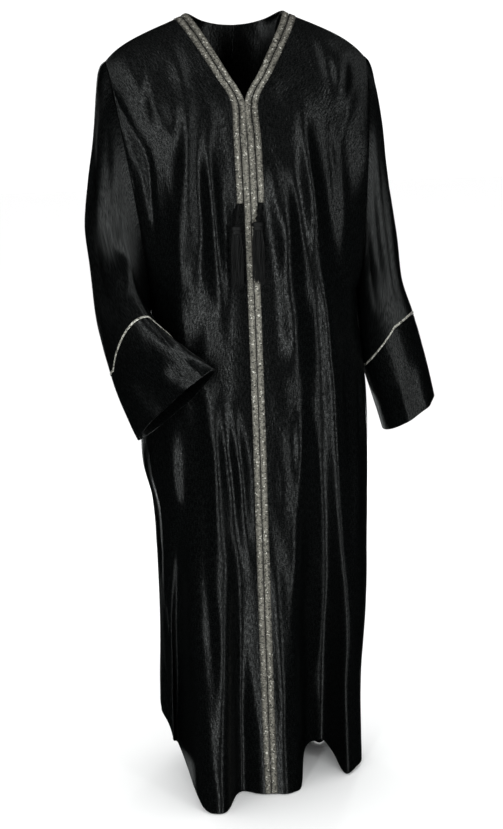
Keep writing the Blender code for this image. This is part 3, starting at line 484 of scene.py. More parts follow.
def fold_shift(folds, x, down):
    """The sum of all folds: shift, times a rise from top to full, times a bell across."""
    total = np.zeros(np.broadcast(x, down).shape)
    for fold in folds:
        share = (down - fold.top) / (fold.foot - fold.top)
        place = fold.top_x + (fold.foot_x - fold.top_x) * np.clip(share, 0, 1)
        rise = smoothstep((down - fold.top) / (fold.full - fold.top))
        if fold.foot < LENGTH:
            rise = rise * (1 - smoothstep((down - fold.foot + FOLD_FADE) / FOLD_FADE))
        total = total + fold.shift * rise * np.exp(-np.abs((x - place) / fold.width) ** fold.edge)
    return total


def armhole_line(side, outward):
    """Points down the armhole edge: half an ellipse from the shoulder tip to the underarm."""
    hole = ARMHOLES[side]
    turn = (1 - np.cos(ARMHOLE_ANGLES)) / 2
    x = hole.top_x + (hole.foot_x - hole.top_x) * turn
    y = outward * hole.half_depth * np.sin(ARMHOLE_ANGLES)
    z = -(hole.top_down + (hole.foot_down - hole.top_down) * turn)
    return x, y, z


def skirt_heights(hem, across):
    """z of the rows below the underarm, in equal steps down to the hem at each place across."""
    foot = np.interp(across, column(hem, "across"), column(hem, "down"))
    return -(UNDERARM + (foot - UNDERARM) * SKIRT_SHARES[:, None])


def front_table(side):
    """Points of a front as x, y, z and the share across it, with no folds yet.

    Rows run from the shoulder seam to the hem, and columns from the front edge outwards. Each row
    is a quarter of a squared ellipse from the front edge to the armhole or side seam. The upper
    rows fan between the V neckline and the armhole.
    """
    arm_x, arm_y, arm_z = armhole_line(side, OUTWARD["front"])
    rows = len(arm_x)
    v = np.array(V_FRACTIONS) * math.pi / 2
    below_v = np.linspace(V_DEPTH, PLACKET_FOOT, PLACKET_ROWS + 1)[1:]
    to_underarm = np.linspace(PLACKET_FOOT, UNDERARM, ARM_ROWS - PLACKET_ROW + 1)[1:]
    edge_down = np.concatenate([V_DEPTH * (1 - np.cos(v)), below_v, to_underarm])
    half_gap = side * SEAM_GAP / 2
    edge_x = half_gap + side * NECK_HALF_WIDTH * np.clip(1 - edge_down / V_DEPTH, 0, 1)
    edge_y = section_value("front", edge_down)
    edge_y[: len(v)] = -V_FORWARD * np.sin(v)

    edge_x = np.concatenate([edge_x, np.full(SKIRT_ROWS, half_gap)])[:, None]
    edge_y = np.concatenate([edge_y, section_value("front", SKIRT_LEVELS)])[:, None]
    out_x = np.concatenate([arm_x, section_value(SIDE_NAMES[side], SKIRT_LEVELS)])[:, None]
    out_y = np.concatenate([arm_y, np.zeros(SKIRT_ROWS)])[:, None]

    braid_edges = np.arange(3) * BRAID_WIDTH / np.abs(out_x - edge_x)
    turn_at_braid = np.arcsin(braid_edges ** (1 / SECTION_POWER))
    rest = np.arange(1, SIDE_COLUMNS + 1) / SIDE_COLUMNS
    turn_rest = turn_at_braid[:, -1:] + (math.pi / 2 - turn_at_braid[:, -1:]) * rest
    turn = np.concatenate([turn_at_braid, turn_rest], axis=1)
    across = np.sin(turn) ** SECTION_POWER
    x = edge_x + (out_x - edge_x) * across
    y = out_y + (edge_y - out_y) * np.clip(np.cos(turn), 0, 1) ** SECTION_POWER

    upper = across[:rows]
    level_off = smoothstep(np.arange(rows) / V_ROWS)[:, None]
    fall = shoulder_fall(upper) + (upper**ROW_POWER - shoulder_fall(upper)) * level_off
    top_z = -edge_down[:, None] + (arm_z[:, None] + edge_down[:, None]) * fall
    z = np.concatenate([top_z, skirt_heights(FRONT_HEM[side], across[rows:])])
    return np.stack([x, y, z, across], axis=2)


def back_turns(side):
    """The turn of each back column on one side, from the centre line to the armhole."""
    top_x = abs(ARMHOLES[side].top_x)
    neck = np.linspace(0, NECK_HALF_WIDTH, NECK_COLUMNS + 1)
    braid = NECK_HALF_WIDTH + BRAID_WIDTH * np.array([1, 2])
    fixed = np.arcsin((np.concatenate([neck, braid]) / top_x) ** (1 / SECTION_POWER))
    rest = np.arange(1, BACK_SIDE_COLUMNS + 1) / BACK_SIDE_COLUMNS
    return np.concatenate([fixed, fixed[-1] + (math.pi / 2 - fixed[-1]) * rest])


def back_table(side):
    """Points of one half of the back as x, y, z and the share across it, with no folds yet.

    Near the neck each column turns over the shoulder as a quarter ellipse. Towards the armhole
    it blends to the armhole's own half ellipse. Below the underarm the rows are like the front's.
    """
    arm_x, arm_y, arm_z = armhole_line(side, OUTWARD["back"])
    rows = len(arm_x)
    turn = back_turns(side)
    across = np.sin(turn) ** SECTION_POWER
    x = np.concatenate([arm_x, section_value(SIDE_NAMES[side], SKIRT_LEVELS)])[:, None] * across

    first_x = np.abs(x[0])
    in_neck = np.clip(first_x / NECK_HALF_WIDTH, 0, 1)
    past_neck = (first_x - NECK_HALF_WIDTH) / (abs(arm_x[0]) - NECK_HALF_WIDTH)
    seam_down = ARMHOLES[side].top_down * shoulder_fall(np.clip(past_neck, 0, 1))
    top_down = BACK_NECK_DROP * (1 - in_neck**2) + seam_down
    top_y = BACK_NECK_BEHIND * np.sqrt(1 - in_neck**2)

    turned = len(BACK_TURNS)
    over = np.concatenate([BACK_TURNS, np.full(rows - turned, math.pi / 2)])[:, None]
    reach = SHOULDER_RADIUS - top_y
    lean = np.sqrt(1 - (reach / SHOULDER_RADIUS) ** 2)
    slant = SHOULDER_RADIUS * lean * over * (1 - over / math.pi)
    neck_down = top_down + SHOULDER_FALL * (1 - np.cos(over)) + slant
    below = np.clip((np.arange(rows) - turned + 1) / (rows - turned), 0, 1)[:, None]
    neck_down = neck_down + (UNDERARM - neck_down) * below
    settled = section_value("back", neck_down) - SHOULDER_RADIUS
    neck_y = top_y + reach * np.sin(over) + settled * smoothstep(below + np.sin(over) ** 4 / 2)

    blend = smoothstep(past_neck)
    upper_y = neck_y + (arm_y[:, None] - neck_y) * blend
    neck_share = (neck_down - top_down) / (UNDERARM - top_down)
    arm_share = (arm_z[0] - arm_z[:, None]) / (UNDERARM + arm_z[0])
    upper_z = -top_down - (UNDERARM - top_down) * (neck_share + (arm_share - neck_share) * blend)

    depth_share = np.clip(np.cos(turn), 0, 1) ** SECTION_POWER
    underarm_row = section_value("back", np.array([UNDERARM])) * depth_share
    to_underarm = np.linspace(0, 1, rows)[:, None] ** 2
    upper_y = upper_y + (underarm_row - upper_y[-1]) * to_underarm
    y = np.concatenate([upper_y, section_value("back", SKIRT_LEVELS)[:, None] * depth_share])
    z = np.concatenate([upper_z, skirt_heights(BACK_HEM[side], across)])
    return np.stack([x, y, z, np.broadcast_to(across, x.shape)], axis=2)


def ring_points(side, along, angle):
    """Points of a sleeve: an ellipse on each ring's outer-to-inner line and its front, pushed
    away from its middle by the soft folds."""
    outer, inner, front = (
        through(column(SLEEVES[side], name), along) for name in ("outer", "inner", "front")
    )
    cosine, sine = np.cos(angle)[..., None], np.sin(angle)[..., None]
    points = (outer + inner) / 2 + (outer - inner) / 2 * cosine + front * sine
    away = unit((outer - inner) / 2 * cosine + front * sine)
    push = np.zeros(angle.shape)
    for fold in SLEEVE_FOLDS[side]:
        along_bell = np.exp(-(((along - fold.along) / fold.long) ** 2))
        around_gap = (np.degrees(angle) - fold.around + 180) % 360 - 180
        push = push + fold.shift * along_bell * np.exp(-((around_gap / fold.wide) ** 2))
    ends = smoothstep(along) * smoothstep(CUFF_SEAMS[side].ring - along)
    return points + away * (push * ends)[..., None]


def cuff_seam_along(side, angle):
    """Where the cuff seam crosses each angle, in rings: level, with a tent-shaped point."""
    seam = CUFF_SEAMS[side]
    gap = np.abs((angle - seam.point_angle + math.pi) % (2 * math.pi) - math.pi)
    return seam.ring - seam.rise * np.clip(1 - gap / seam.point_width, 0, 1)


def spline_at(table, row, col):
    """A table read between its rows and columns, by a Catmull-Rom curve through four of each."""
    row, col = np.broadcast_arrays(np.asarray(row, float), np.asarray(col, float))
    weights, places = [], []
    for at, last in ((row, table.shape[0] - 1), (col, table.shape[1] - 1)):
        lower = np.minimum(np.clip(at, 0, last).astype(int), last - 1)
        t = np.clip(at, 0, last) - lower
        cubic = (2 * t**2 - t - t**3, 2 - 5 * t**2 + 3 * t**3, t + 4 * t**2 - 3 * t**3, t**3 - t**2)
        weights.append(cubic)
        places.append([np.clip(lower + step, 0, last) for step in (-1, 0, 1, 2)])
    total = 0
    for down_weight, down in zip(weights[0], places[0]):
        for over_weight, over in zip(weights[1], places[1]):
            total = total + (down_weight * over_weight / 4)[..., None] * table[down, over]
    return total


def grid_normals(grid, closed=False):
    """Unit normals: the cross product of the slopes along the columns and the rows."""
    padded = np.concatenate([grid[:, -1:], grid, grid[:, :1]], axis=1) if closed else grid
    across = np.gradient(padded, axis=1)
    across = across[:, 1:-1] if closed else across
    return unit(np.cross(across, np.gradient(grid, axis=0)))


def full_table(table, outward):
    """The table with the outward normal and the distance along its row added to every point."""
    points = table[..., :3]
    along = lengths_along(points, axis=1)[..., None]
    return np.concatenate([table, outward * grid_normals(points), along], axis=2)


TABLES = {
    (part, side): full_table(points_of(side), side * OUTWARD[part])
    for part, points_of in (("front", front_table), ("back", back_table))
    for side in SIDE_NAMES
}


def path_offset(path, across, along):
    """How far each place lies across from a crease's path, measured at its own place along."""
    places = np.interp(along, path[:, 1], np.arange(len(path)))
    return across - through(path[:, 0], places)


def crease_push(creases, x, down):
    """The sum of creases: push, times a bell across, times soft ends. Its flanks differ by lean."""
    total = np.zeros(np.broadcast(x, down).shape)
    for crease in creases:
        path = np.array(crease.path)
        off = path_offset(path, x, down) / crease.width
        off = off * (1 + crease.lean * np.tanh(2 * off))
        top, foot = path[0, 1], path[-1, 1]
        soft = BODY_CREASE_FADE * (foot - top)
        ends = smoothstep((down - top) / soft) * smoothstep((foot - down) / soft)
        total = total + crease.push * ends * np.exp(-(off**2))
    return total


def strewn_creases(seed, count, across, down, lengths):
    """Small creases at seeded places, mostly upright: start x, foot x, top, foot, width, push."""
    draw = np.random.default_rng(seed)
    top = draw.uniform(*down, count)
    length = draw.uniform(*lengths, count)
    start = draw.uniform(*across, count)
    drift = draw.normal(0, STREWN_DRIFT, count) * length
    width = draw.uniform(*STREWN_WIDTHS, count)
    push = draw.choice((-1.0, 1.0), count) * draw.uniform(*STREWN_PUSHES, count)
    return np.stack([start, start + drift, top, top + length, width, push], axis=1)


def strewn_push(table, across, down):
    """Each strewn crease is a bell across its own line, with half-sine ends."""
    total = np.zeros(np.broadcast(across, down).shape)
    for start, foot, top, bottom, width, push in table:
        share = np.clip((down - top) / (bottom - top), 0, 1)
        off = (across - start - (foot - start) * share) / width
        total = total + push * np.sin(math.pi * share) * np.exp(-(off**2))
    return total


def crumple(points):
    """A slight unevenness: the mean of three sines, each bent by another, longer upright."""
    x, y, z = (points[..., i] / CRUMPLE_SIZE for i in range(3))
    a = np.sin(2.1 * x + 0.50 * z + 1.3 * np.sin(1.7 * y + 0.4 * z))
    b = np.sin(-1.6 * x + 1.9 * y + 0.62 * z + 1.1 * np.sin(0.9 * x - 0.5 * z))
    c = np.sin(3.3 * x - 2.4 * y + 0.95 * z + 0.8 * np.sin(1.3 * z + x))
    return (a + b + 0.6 * c) / 2.6


# Strewn creases by panel: seed, number, and the ranges of their start across, top and length
STREWN = {
    ("front", RIGHT): strewn_creases(11, 70, (0.03, 0.34), (0.05, 1.25), (0.10, 0.42)),
    ("front", LEFT): strewn_creases(12, 70, (0.03, 0.36), (0.05, 1.25), (0.10, 0.42)),
    ("back", RIGHT): strewn_creases(13, 34, (0.0, 0.34), (0.06, 1.20), (0.14, 0.50)),
    ("back", LEFT): strewn_creases(14, 34, (0.0, 0.34), (0.06, 1.20), (0.14, 0.50)),
}


def body_points(panel, row, col):
    """Points and outward normals of a body panel at its table's row and column numbers.

    The cubic surface through the table is shifted in depth by the large folds and along its
    normal by the creases. Creases die out at the shoulder, armhole and side seams and are weak
    under the braid.
    """
    table, row, col = TABLES[panel], np.asarray(row), np.asarray(col)
    part = panel[0]
    folds, creases = (FRONT_FOLDS, FRONT_CREASES) if part == "front" else (BACK_FOLDS, BACK_CREASES)
    values = spline_at(table, row, col)
    x, y, z, across = (values[..., i] for i in range(4))
    last = table.shape[1] - 1
    if part == "back":
        y = np.where(col >= NECK_COLUMNS, np.maximum(y, 0), y)
    y = y + fold_shift(folds, x, -z) * (1 - np.clip(across, 0, 1) ** 10)
    # Front and back overlap by a hair at the side and shoulder seams, so that no light shows
    at_seam = smoothstep(col - last + 1) + smoothstep(1 - row)
    y = y - OUTWARD[part] * SEAM_OVERLAP * np.clip(at_seam, 0, 1)
    points = np.stack([x, y, z], axis=-1)
    normals = unit(values[..., 4:7])
    calm = smoothstep(row / CALM_ROWS) * smoothstep((last - col) / CALM_COLUMNS)
    loose = smoothstep((col - BRAID_CALM_FROM) / CALM_COLUMNS) if part == "front" else 1.0
    small = strewn_push(STREWN[panel], values[..., 7], -z) + CRUMPLE_PUSH * crumple(points)
    braid_calm = UNDER_BRAID + (1 - UNDER_BRAID) * loose
    push = calm * (crease_push(creases, x, -z) * braid_calm + small * loose)
    return points + normals * push[..., None], normals


def arm_points(side, along, angle):
    """Points of a sleeve and its cuff: the ring surface, pushed along its normal by the creases.

    Creases fade at their ends, unless they run out at the cuff's hem, and beside the cuff seam.
    """
    points = ring_points(side, along, angle)
    normals = side * grid_normals(points, closed=True)
    push = CRUMPLE_PUSH * ARM_CRUMPLE * crumple(points)
    for crease in ARM_CREASES[side]:
        path = np.array(crease.path, float)
        off = (path_offset(path, np.degrees(angle), along) + 180) % 360 - 180
        top, foot = path[0, 1], path[-1, 1]
        soft = ARM_CREASE_FADE * (foot - top)
        ends = smoothstep((along - top) / soft)
        if foot < LAST_RING[side]:
            ends = ends * smoothstep((foot - along) / soft)
        push = push + crease.push * ends * np.exp(-((off / crease.width) ** 2))
    from_seam = along - cuff_seam_along(side, angle)
    calm = smoothstep(along / ARM_CALM) * (1 - np.exp(-((from_seam / CUFF_SEAM_CALM) ** 2)))
    return points + normals * (push * calm)[..., None]


def to_linear(code):
    """The linear colour of an sRGB hex value."""
    shares = [int(code[i : i + 2], 16) / 255 for i in (1, 3, 5)]
    return [s / 12.92 if s <= 0.04045 else ((s + 0.055) / 1.055) ** 2.4 for s in shares] + [1.0]


def grid_quads(rows, columns, closed=False, flip=False):
    """Four-cornered faces between the points of a grid, and from its last column to its first."""
    last = columns if closed else columns - 1
    row, over = np.meshgrid(np.arange(rows - 1), np.arange(last), indexing="ij")
    beside = (over + 1) % columns
    corners = [row * columns + over, row * columns + beside]
    corners += [(row + 1) * columns + beside, (row + 1) * columns + over]
    quads = np.stack(corners, axis=-1).reshape(-1, 4)
    return quads[:, ::-1] if flip else quads


def add_mesh(name, points, faces, uv, material):
    """A smooth object from arrays of points and of faces with equal numbers of corners.

    uv is in metres, one pair to a point.
    """
    mesh = bpy.data.meshes.new(name)
    points = np.asarray(points, np.float32).reshape(-1, 3)
    faces = np.asarray(faces, np.int32)
    mesh.vertices.add(len(points))
    mesh.vertices.foreach_set("co", points.ravel())
    mesh.loops.add(faces.size)
    mesh.loops.foreach_set("vertex_index", faces.ravel())
    mesh.polygons.add(len(faces))
    starts = np.arange(0, faces.size, faces.shape[1], dtype=np.int32)
    mesh.polygons.foreach_set("loop_start", starts)
    mesh.update(calc_edges=True)
    layer = mesh.uv_layers.new(name="cloth")
    corners = np.asarray(uv, np.float32).reshape(-1, 2)[faces.ravel()]
    layer.data.foreach_set("uv", corners.ravel())
    mesh.validate()
    mesh.materials.append(material)
    mesh.shade_smooth()
    piece = bpy.data.objects.new(name, mesh)
    bpy.context.scene.collection.objects.link(piece)
    return piece


def add_surface(name, grid, material, closed=False, flip=False, uv=None):
    """A mesh over a grid of points. Unless given, uv is the distances across and down it."""
    if uv is None:
        uv = np.stack([lengths_along(grid, axis=1), -lengths_along(grid, axis=0)], axis=-1)
    return add_mesh(name, grid, grid_quads(*grid.shape[:2], closed, flip), uv, material)


def add_cloth(name, grid, flip, material, closed=False):
    """A cloth piece from a grid: its outer face is the grid, and Solidify adds the wall inwards."""
    piece = add_surface(name, grid, material, closed, flip)
    wall = piece.modifiers.new("wall", "SOLIDIFY")
    wall.thickness = CLOTH
    wall.offset = -1
    return piece


def add_material(name):
    """A new node material: returns it, its nodes, and its shader."""
    material = bpy.data.materials.new(name)
    material.use_nodes = True
    return material, material.node_tree, material.node_tree.nodes["Principled BSDF"]


def feed(tree, node, **inputs):
    """Sets a node's inputs by name or number: a value is set, and an output socket is joined."""
    for key, value in inputs.items():
        socket = node.inputs[int(key[1:]) if key[1:].isdigit() else key.replace("_", " ")]
        if isinstance(value, bpy.types.NodeSocket):
            tree.links.new(value, socket)
        else:
            socket.default_value = value


def add_node(tree, kind, settings=None, stops=(), **inputs):
    """Adds one shader node and returns its outputs. settings are its own fields, and stops are a
    colour ramp's (place, hex colour) pairs."""
    node = tree.nodes.new("ShaderNode" + kind)
    for field, value in (settings or {}).items():
        setattr(node, field, value)
    if stops:
        ramp = node.color_ramp
        ramp.interpolation = "EASE"
        while len(ramp.elements) < len(stops):
            ramp.elements.new(0.5)
        for element, (place, code) in zip(ramp.elements, stops):
            element.position = place
            element.color = to_linear(code)
    feed(tree, node, **inputs)
    return node.outputs


def pattern_scale(across, down):
    """Mapping scale for uv in metres: one unit of a pattern is across by down millimetres."""
    return (1000 / across, 1000 / down, 1)


def satin_material():
    """Crinkled polyester satin: near black, with soft grey lights drawn out along the warp.

    The floats of a satin weave run down the cloth and spread a light that way, so the shader's
    highlight is long upright and short across. Slubs and crinkle break it up.
    """
    material, tree, shader = add_material("crinkled_satin")
    uv = add_node(tree, "TexCoord")["UV"]
    # Crinkle of the finished cloth, about 4 mm by 9 mm
    wide = add_node(tree, "Mapping", Vector=uv, Scale=pattern_scale(4, 9))[0]
    crinkle = add_node(tree, "TexNoise", Vector=wide, Scale=1.0, Detail=2.0)[0]
    # Slubs of the thread: real ones are 0.3 mm wide, drawn at 1.9 mm by 9 mm so that they show
    thin = add_node(tree, "Mapping", Vector=uv, Scale=pattern_scale(1.9, 9))[0]
    slub = add_node(tree, "TexNoise", Vector=thin, Scale=1.0, Detail=2.0)[0]
    # The weft shows as short dashes across, 3.6 mm by 1.6 mm, coarser than real so that they show
    dash = add_node(tree, "Mapping", Vector=uv, Scale=pattern_scale(3.6, 1.6))[0]
    weft = add_node(tree, "TexNoise", Vector=dash, Scale=1.0, Detail=1.0)[0]
    grain = add_node(tree, "Math", {"operation": "MULTIPLY"}, _0=slub, _1=weft)[0]
    shades = ((0.14, "#020303"), (0.28, "#050606"), (0.42, "#0E1011"))
    colour = add_node(tree, "ValToRGB", stops=shades, Fac=grain)[0]
    rough = add_node(
        tree, "MapRange", Value=grain, From_Min=0.14, From_Max=0.40,
        To_Min=0.58, To_Max=0.44,
    )[0]
    # Flat floats shine and the thread ends between them don't, so that a light on it is grainy
    shine = add_node(
        tree, "MapRange", Value=grain, From_Min=0.16, From_Max=0.36,
        To_Min=0.25, To_Max=1.0,
    )[0]
    low = add_node(tree, "Bump", Strength=0.28, Distance=0.0016, Height=crinkle)[0]
    high = add_node(tree, "Bump", Strength=0.10, Distance=0.0011, Height=grain, Normal=low)[0]
    warp = add_node(tree, "Tangent", {"direction_type": "UV_MAP", "uv_map": "cloth"})[0]
    feed(tree, shader, Base_Color=colour, Roughness=rough, Specular_IOR_Level=shine, Normal=high)
    feed(tree, shader, Tangent=warp, Anisotropic=1.0, Anisotropic_Rotation=0.25)
    return material


def glitter_material(name, base, painted_sparkle, cell, rib):
    """Glitter film on braid: cells each tilted their own way, so that some flash and some are dark.
    Each cell also has a random tone, whose lightest end is a painted sparkle.

    cell is the size of a flake in millimetres, drawn coarser than real so that flakes show. rib
    is the width of a braid's rounded rib in metres, whose edges get painted shading, or None.
    """
    material, tree, shader = add_material(name)
    uv = add_node(tree, "TexCoord")["UV"]
    place = add_node(tree, "Mapping", Vector=uv, Scale=pattern_scale(cell, cell))[0]
    flakes = add_node(tree, "TexVoronoi", Vector=place, Scale=1.0)["Color"]
    # A flake's colour is three random numbers: they give its tone, its roughness and its tilt
    lots = add_node(tree, "SeparateColor", Color=flakes)
    # The tone is random per flake, and its lightest stop is a painted sparkle for flakes that catch
    # the light
    shades = ((0.0, "#3A3935"), (0.26, "#66645C"), (0.55, base), (0.90, base), (1.0, painted_sparkle))
    colour = add_node(tree, "ValToRGB", stops=shades, Fac=lots[0])[0]
    if rib:
        # Painted shade: the flake colour darkens from the rib's middle to its edges, which face
        # away from the light
        over = add_node(tree, "SeparateXYZ", Vector=uv)["X"]
        turn = add_node(tree, "Math", {"operation": "MULTIPLY"}, _0=over, _1=2 * math.pi / rib)[0]
        wave = add_node(tree, "Math", {"operation": "COSINE"}, _0=turn)[0]
        painted_rib_shade = add_node(
            tree, "MapRange", Value=wave, From_Min=1.0, From_Max=-1.0,
            To_Min=0.38, To_Max=1.0,
        )[0]
        multiply = {"data_type": "RGBA", "blend_type": "MULTIPLY"}
        colour = add_node(tree, "Mix", multiply, _0=1.0, _6=colour, _7=painted_rib_shade)[2]
    rough = add_node(tree, "MapRange", Value=lots[1], To_Min=0.30, To_Max=0.55)[0]
    tilt = add_node(tree, "Bump", Strength=0.35, Distance=0.0006, Height=lots[2])[0]
    feed(tree, shader, Base_Color=colour, Metallic=0.40, Roughness=rough, Normal=tilt)
    return material


def thread_material():
    """Rayon thread of the tassels and stitches: black, with soft painted sheen in streaks along it.
    """
    material, tree, shader = add_material("rayon_thread")
    uv = add_node(tree, "TexCoord")["UV"]
    # Painted sheen: streaks as wide as a strand's lit side, 0.8 mm, and 14 mm long, lighten the
    # thread's colour, and the same streaks give its bump
    along = add_node(tree, "Mapping", Vector=uv, Scale=pattern_scale(0.8, 14))[0]
    sheen_streak = add_node(tree, "TexNoise", Vector=along, Scale=1.0, Detail=2.0)[0]
    # The lighter end of this ramp is painted sheen on the lit side of a strand
    shades = ((0.35, "#030303"), (0.62, "#0A0A0B"))
    colour = add_node(tree, "ValToRGB", stops=shades, Fac=sheen_streak)[0]
    bump = add_node(tree, "Bump", Strength=0.4, Distance=0.0004, Height=sheen_streak)[0]
    feed(tree, shader, Base_Color=colour, Roughness=0.6, Normal=bump)
    return material


def paper_material():
    """Matt white paper: one even white with no shine."""
    material, tree, shader = add_material("matt_paper")
    feed(tree, shader, Base_Color=to_linear("#FAFAFA"), Roughness=0.9)
    return material


def add_body_cloths(satin):
    """Fronts and half backs: each table's surface, in even steps between its rows and columns."""
    upper = np.linspace(0, ARM_ROWS, UPPER_STEPS * ARM_ROWS + 1)
    skirt = np.linspace(ARM_ROWS, HEM_ROW, SKIRT_STEPS * SKIRT_ROWS + 1)[1:]
    rows = np.concatenate([upper, skirt])[:, None]
    under_braid = np.linspace(0, 2, 2 * UNDER_BRAID_STEPS + 1)
    beside = np.linspace(2, LAST_COLUMN["front"], SIDE_COLUMNS * FRONT_STEPS + 1)[1:]
    columns = {
        "front": np.concatenate([under_braid, beside]),
        "back": np.linspace(0, LAST_COLUMN["back"], LAST_COLUMN["back"] * BACK_STEPS + 1),
    }
    made = {}
    for side, side_name in SIDE_NAMES.items():
        for part, outward in OUTWARD.items():
            grid, _ = body_points((part, side), rows, columns[part][None])
            if part == "back":
                grid[:, 0, 0] -= side * SEAM_GAP / 2
            name = f"{part}_{side_name}"
            piece = add_cloth(name + "_cloth", grid, side * outward < 0, satin)
            made[part, side] = piece
            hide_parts(name)
    return made


def add_arm_cloths(satin):
    """Sleeves and cuffs: even lines along the arm from the armhole to the cuff seam, and from there
    to the cuff's hem, each a closed ring of points round it."""
    angle = np.linspace(0, 2 * math.pi, ARM_COLUMNS, endpoint=False)
    made = {}
    for side, side_name in SIDE_NAMES.items():
        seam = cuff_seam_along(side, angle)
        for part, first, foot in (
            ("sleeve", 0 * seam, seam - CUFF_SEAM_GAP),
            ("cuff", seam + CUFF_SEAM_GAP, 0 * seam + LAST_RING[side]),
        ):
            share = np.linspace(0, 1, ARM_LINES[part])[:, None]
            along = first + (foot - first) * share
            grid = arm_points(side, along, np.broadcast_to(angle, along.shape))
            if part == "sleeve":
                grid[0, :, 0] += side * 2 * SEAM_GAP
            name = f"{part}_{side_name}"
            piece = add_cloth(name + "_cloth", grid, side == LEFT, satin, closed=True)
            made[part, side] = piece
            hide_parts(name + "_front", name + "_back")
    return made


def braid_relief(share, length):
    """Height of a braid over its cloth: two corded edges and a herringbone of plaits between.

    share runs 0..1 across and length in metres along.
    """
    rib = np.abs(share - 0.5) * 2
    edge = np.exp(-(((rib - 0.86) / 0.12) ** 2))
    plait = 0.5 + 0.5 * np.cos(2 * math.pi * (length / PLAIT_LENGTH + 1.1 * rib))
    twist = 0.5 + 0.5 * np.cos(2 * math.pi * (length / EDGE_TWIST_LENGTH + 2 * share))
    corded = EDGE_HEIGHT * edge * (0.5 + 0.5 * twist)
    height = BRAID_HEIGHT + PLAIT_HEIGHT * plait * (1 - edge) + corded
    return height * np.clip((1 - rib) / 0.08, 0.25, 1) ** 0.5


def even_rows(panel, foot_row):
    """Row numbers up a front's edge at equal distances."""
    rows = np.linspace(0, foot_row, 400)
    line, _ = body_points(panel, rows[:, None], np.array([[0.5]]))
    length = lengths_along(line[:, 0])
    count = int(length[-1] / BRAID_STEP)
    return np.interp(np.linspace(length[-1], 0, count), length, rows)


def add_braid(name, edge, foot_row, back_rows, inset, material):
    """One braid as a closed strip along its stations, with its relief moved out along the normal.

    It goes up the right front's edge, turns a corner at the shoulder, goes round the back neck and
    comes down the left front. Its underside lies a hair over the cloth.
    """
    share = np.linspace(inset[0], 1 - inset[1], BRAID_STEPS + 1)
    first, last = back_rows
    neck = NECK_COLUMNS + edge
    corner = np.linspace(0, 1, CORNER_STATIONS)[1:, None]
    half_neck = np.linspace(0, 1, HALF_NECK_STATIONS)[1:, None]
    up = {side: even_rows(("front", side), foot_row)[:, None] for side in SIDE_NAMES}
    turn = (first * corner + (last - first) * corner * share, neck + share + 0 * corner)
    over = (first + (last - first) * share + 0 * half_neck, (neck + share) * (1 - half_neck))
    parts = (
        (("front", RIGHT), up[RIGHT] + 0 * share, edge + share + 0 * up[RIGHT]),
        (("back", RIGHT), *turn),
        (("back", RIGHT), *over),
        (("back", LEFT), over[0][-2::-1], over[1][-2::-1]),
        (("back", LEFT), over[0][:1], turn[1][-1:]),
        (("back", LEFT), turn[0][-2::-1], turn[1][-2::-1]),
        (("front", LEFT), up[LEFT][::-1] + 0 * share, edge + share + 0 * up[LEFT]),
    )
    made = [body_points(*part) for part in parts]
    points, normals = (np.concatenate(arrays) for arrays in zip(*made))
    length = lengths_along(points[:, BRAID_STEPS // 2])
    relief = braid_relief(np.linspace(0, 1, BRAID_STEPS + 1)[None], length[:, None])
    ends = np.clip(np.minimum(length, length[-1] - length) / BRAID_END, 0, 1)[:, None]
    top = points + normals * (BRAID_LIFT + relief * ends)[..., None]
    under = points[:, [-1, 0]] + normals[:, [-1, 0]] * UNDERSIDE_LIFT
    section = np.concatenate([top, under], axis=1)
    width = np.linspace(0, BRAID_FACE, BRAID_STEPS + 1)
    width = np.concatenate([width, [BRAID_WIDTH, BRAID_FACE - BRAID_WIDTH]])
    uv = np.stack(np.broadcast_arrays(width[None], length[:, None]), axis=-1)
    return add_surface(name, section, material, closed=True, flip=True, uv=uv)


def add_piping(side, material):
    """A rounded cord over the cuff seam: a half round on each station of the seam's ring."""
    angle = np.linspace(0, 2 * math.pi, PIPING_STATIONS, endpoint=False)
    lines = cuff_seam_along(side, angle) + np.array([[-0.06], [0], [0.06]])
    grid = arm_points(side, lines, np.broadcast_to(angle, lines.shape))
    normals = side * grid_normals(grid, closed=True)[1]
    slope = unit(grid[2] - grid[0])
    turn = np.linspace(0, math.pi, 8)
    # The cord's twist shows as a ripple that repeats every third station
    twist = 1 + 0.05 * np.cos(2 * math.pi * np.arange(PIPING_STATIONS) / 3)[:, None, None]
    out = (PIPING_EDGE + PIPING_CROWN * np.sin(turn))[None, :, None] * twist
    section = grid[1][:, None] + slope[:, None] * (PIPING_HALF_WIDTH * np.cos(turn))[None, :, None]
    section = np.swapaxes(section + normals[:, None] * out, 0, 1)
    under = section[[-1, 0]] - normals[None] * PIPING_SUNK
    section = np.concatenate([section, under, section[:1]])
    name = f"piping_{SIDE_NAMES[side]}_cord"
    return add_surface(name, section, material, closed=True, flip=side == RIGHT)


def add_stitches(name, line, normals, material):
    """Running stitches along a line: three-sided spindles, laid end to end with gaps."""
    length = lengths_along(line)
    starts = np.arange(FIRST_STITCH, length[-1] - LAST_STITCH, STITCH_STEP)
    first, last, up = (
        np.stack([np.interp(at, length, values[:, axis]) for axis in range(3)], axis=1)
        for values, at in ((line, starts), (line, starts + STITCH_LENGTH), (normals, starts))
    )
    over = unit(np.cross(last - first, up))
    middle = (first + last) / 2 + up * UNDERSIDE_LIFT
    turn = np.radians([90, 210, 330])[None, :, None]
    round_thread = np.cos(turn) * over[:, None] + np.sin(turn) * up[:, None]
    ring = middle[:, None] + STITCH_RADIUS * round_thread
    points = np.concatenate([first[:, None], ring, last[:, None]], axis=1)
    sides = np.array([(0, 1, 2), (0, 2, 3), (0, 3, 1), (4, 2, 1), (4, 3, 2), (4, 1, 3)])
    faces = (sides[None] + 5 * np.arange(len(starts))[:, None, None]).reshape(-1, 3)
    uv = np.stack([points[..., 0], points[..., 2]], axis=-1)
    return add_mesh(name, points, faces, uv, material)


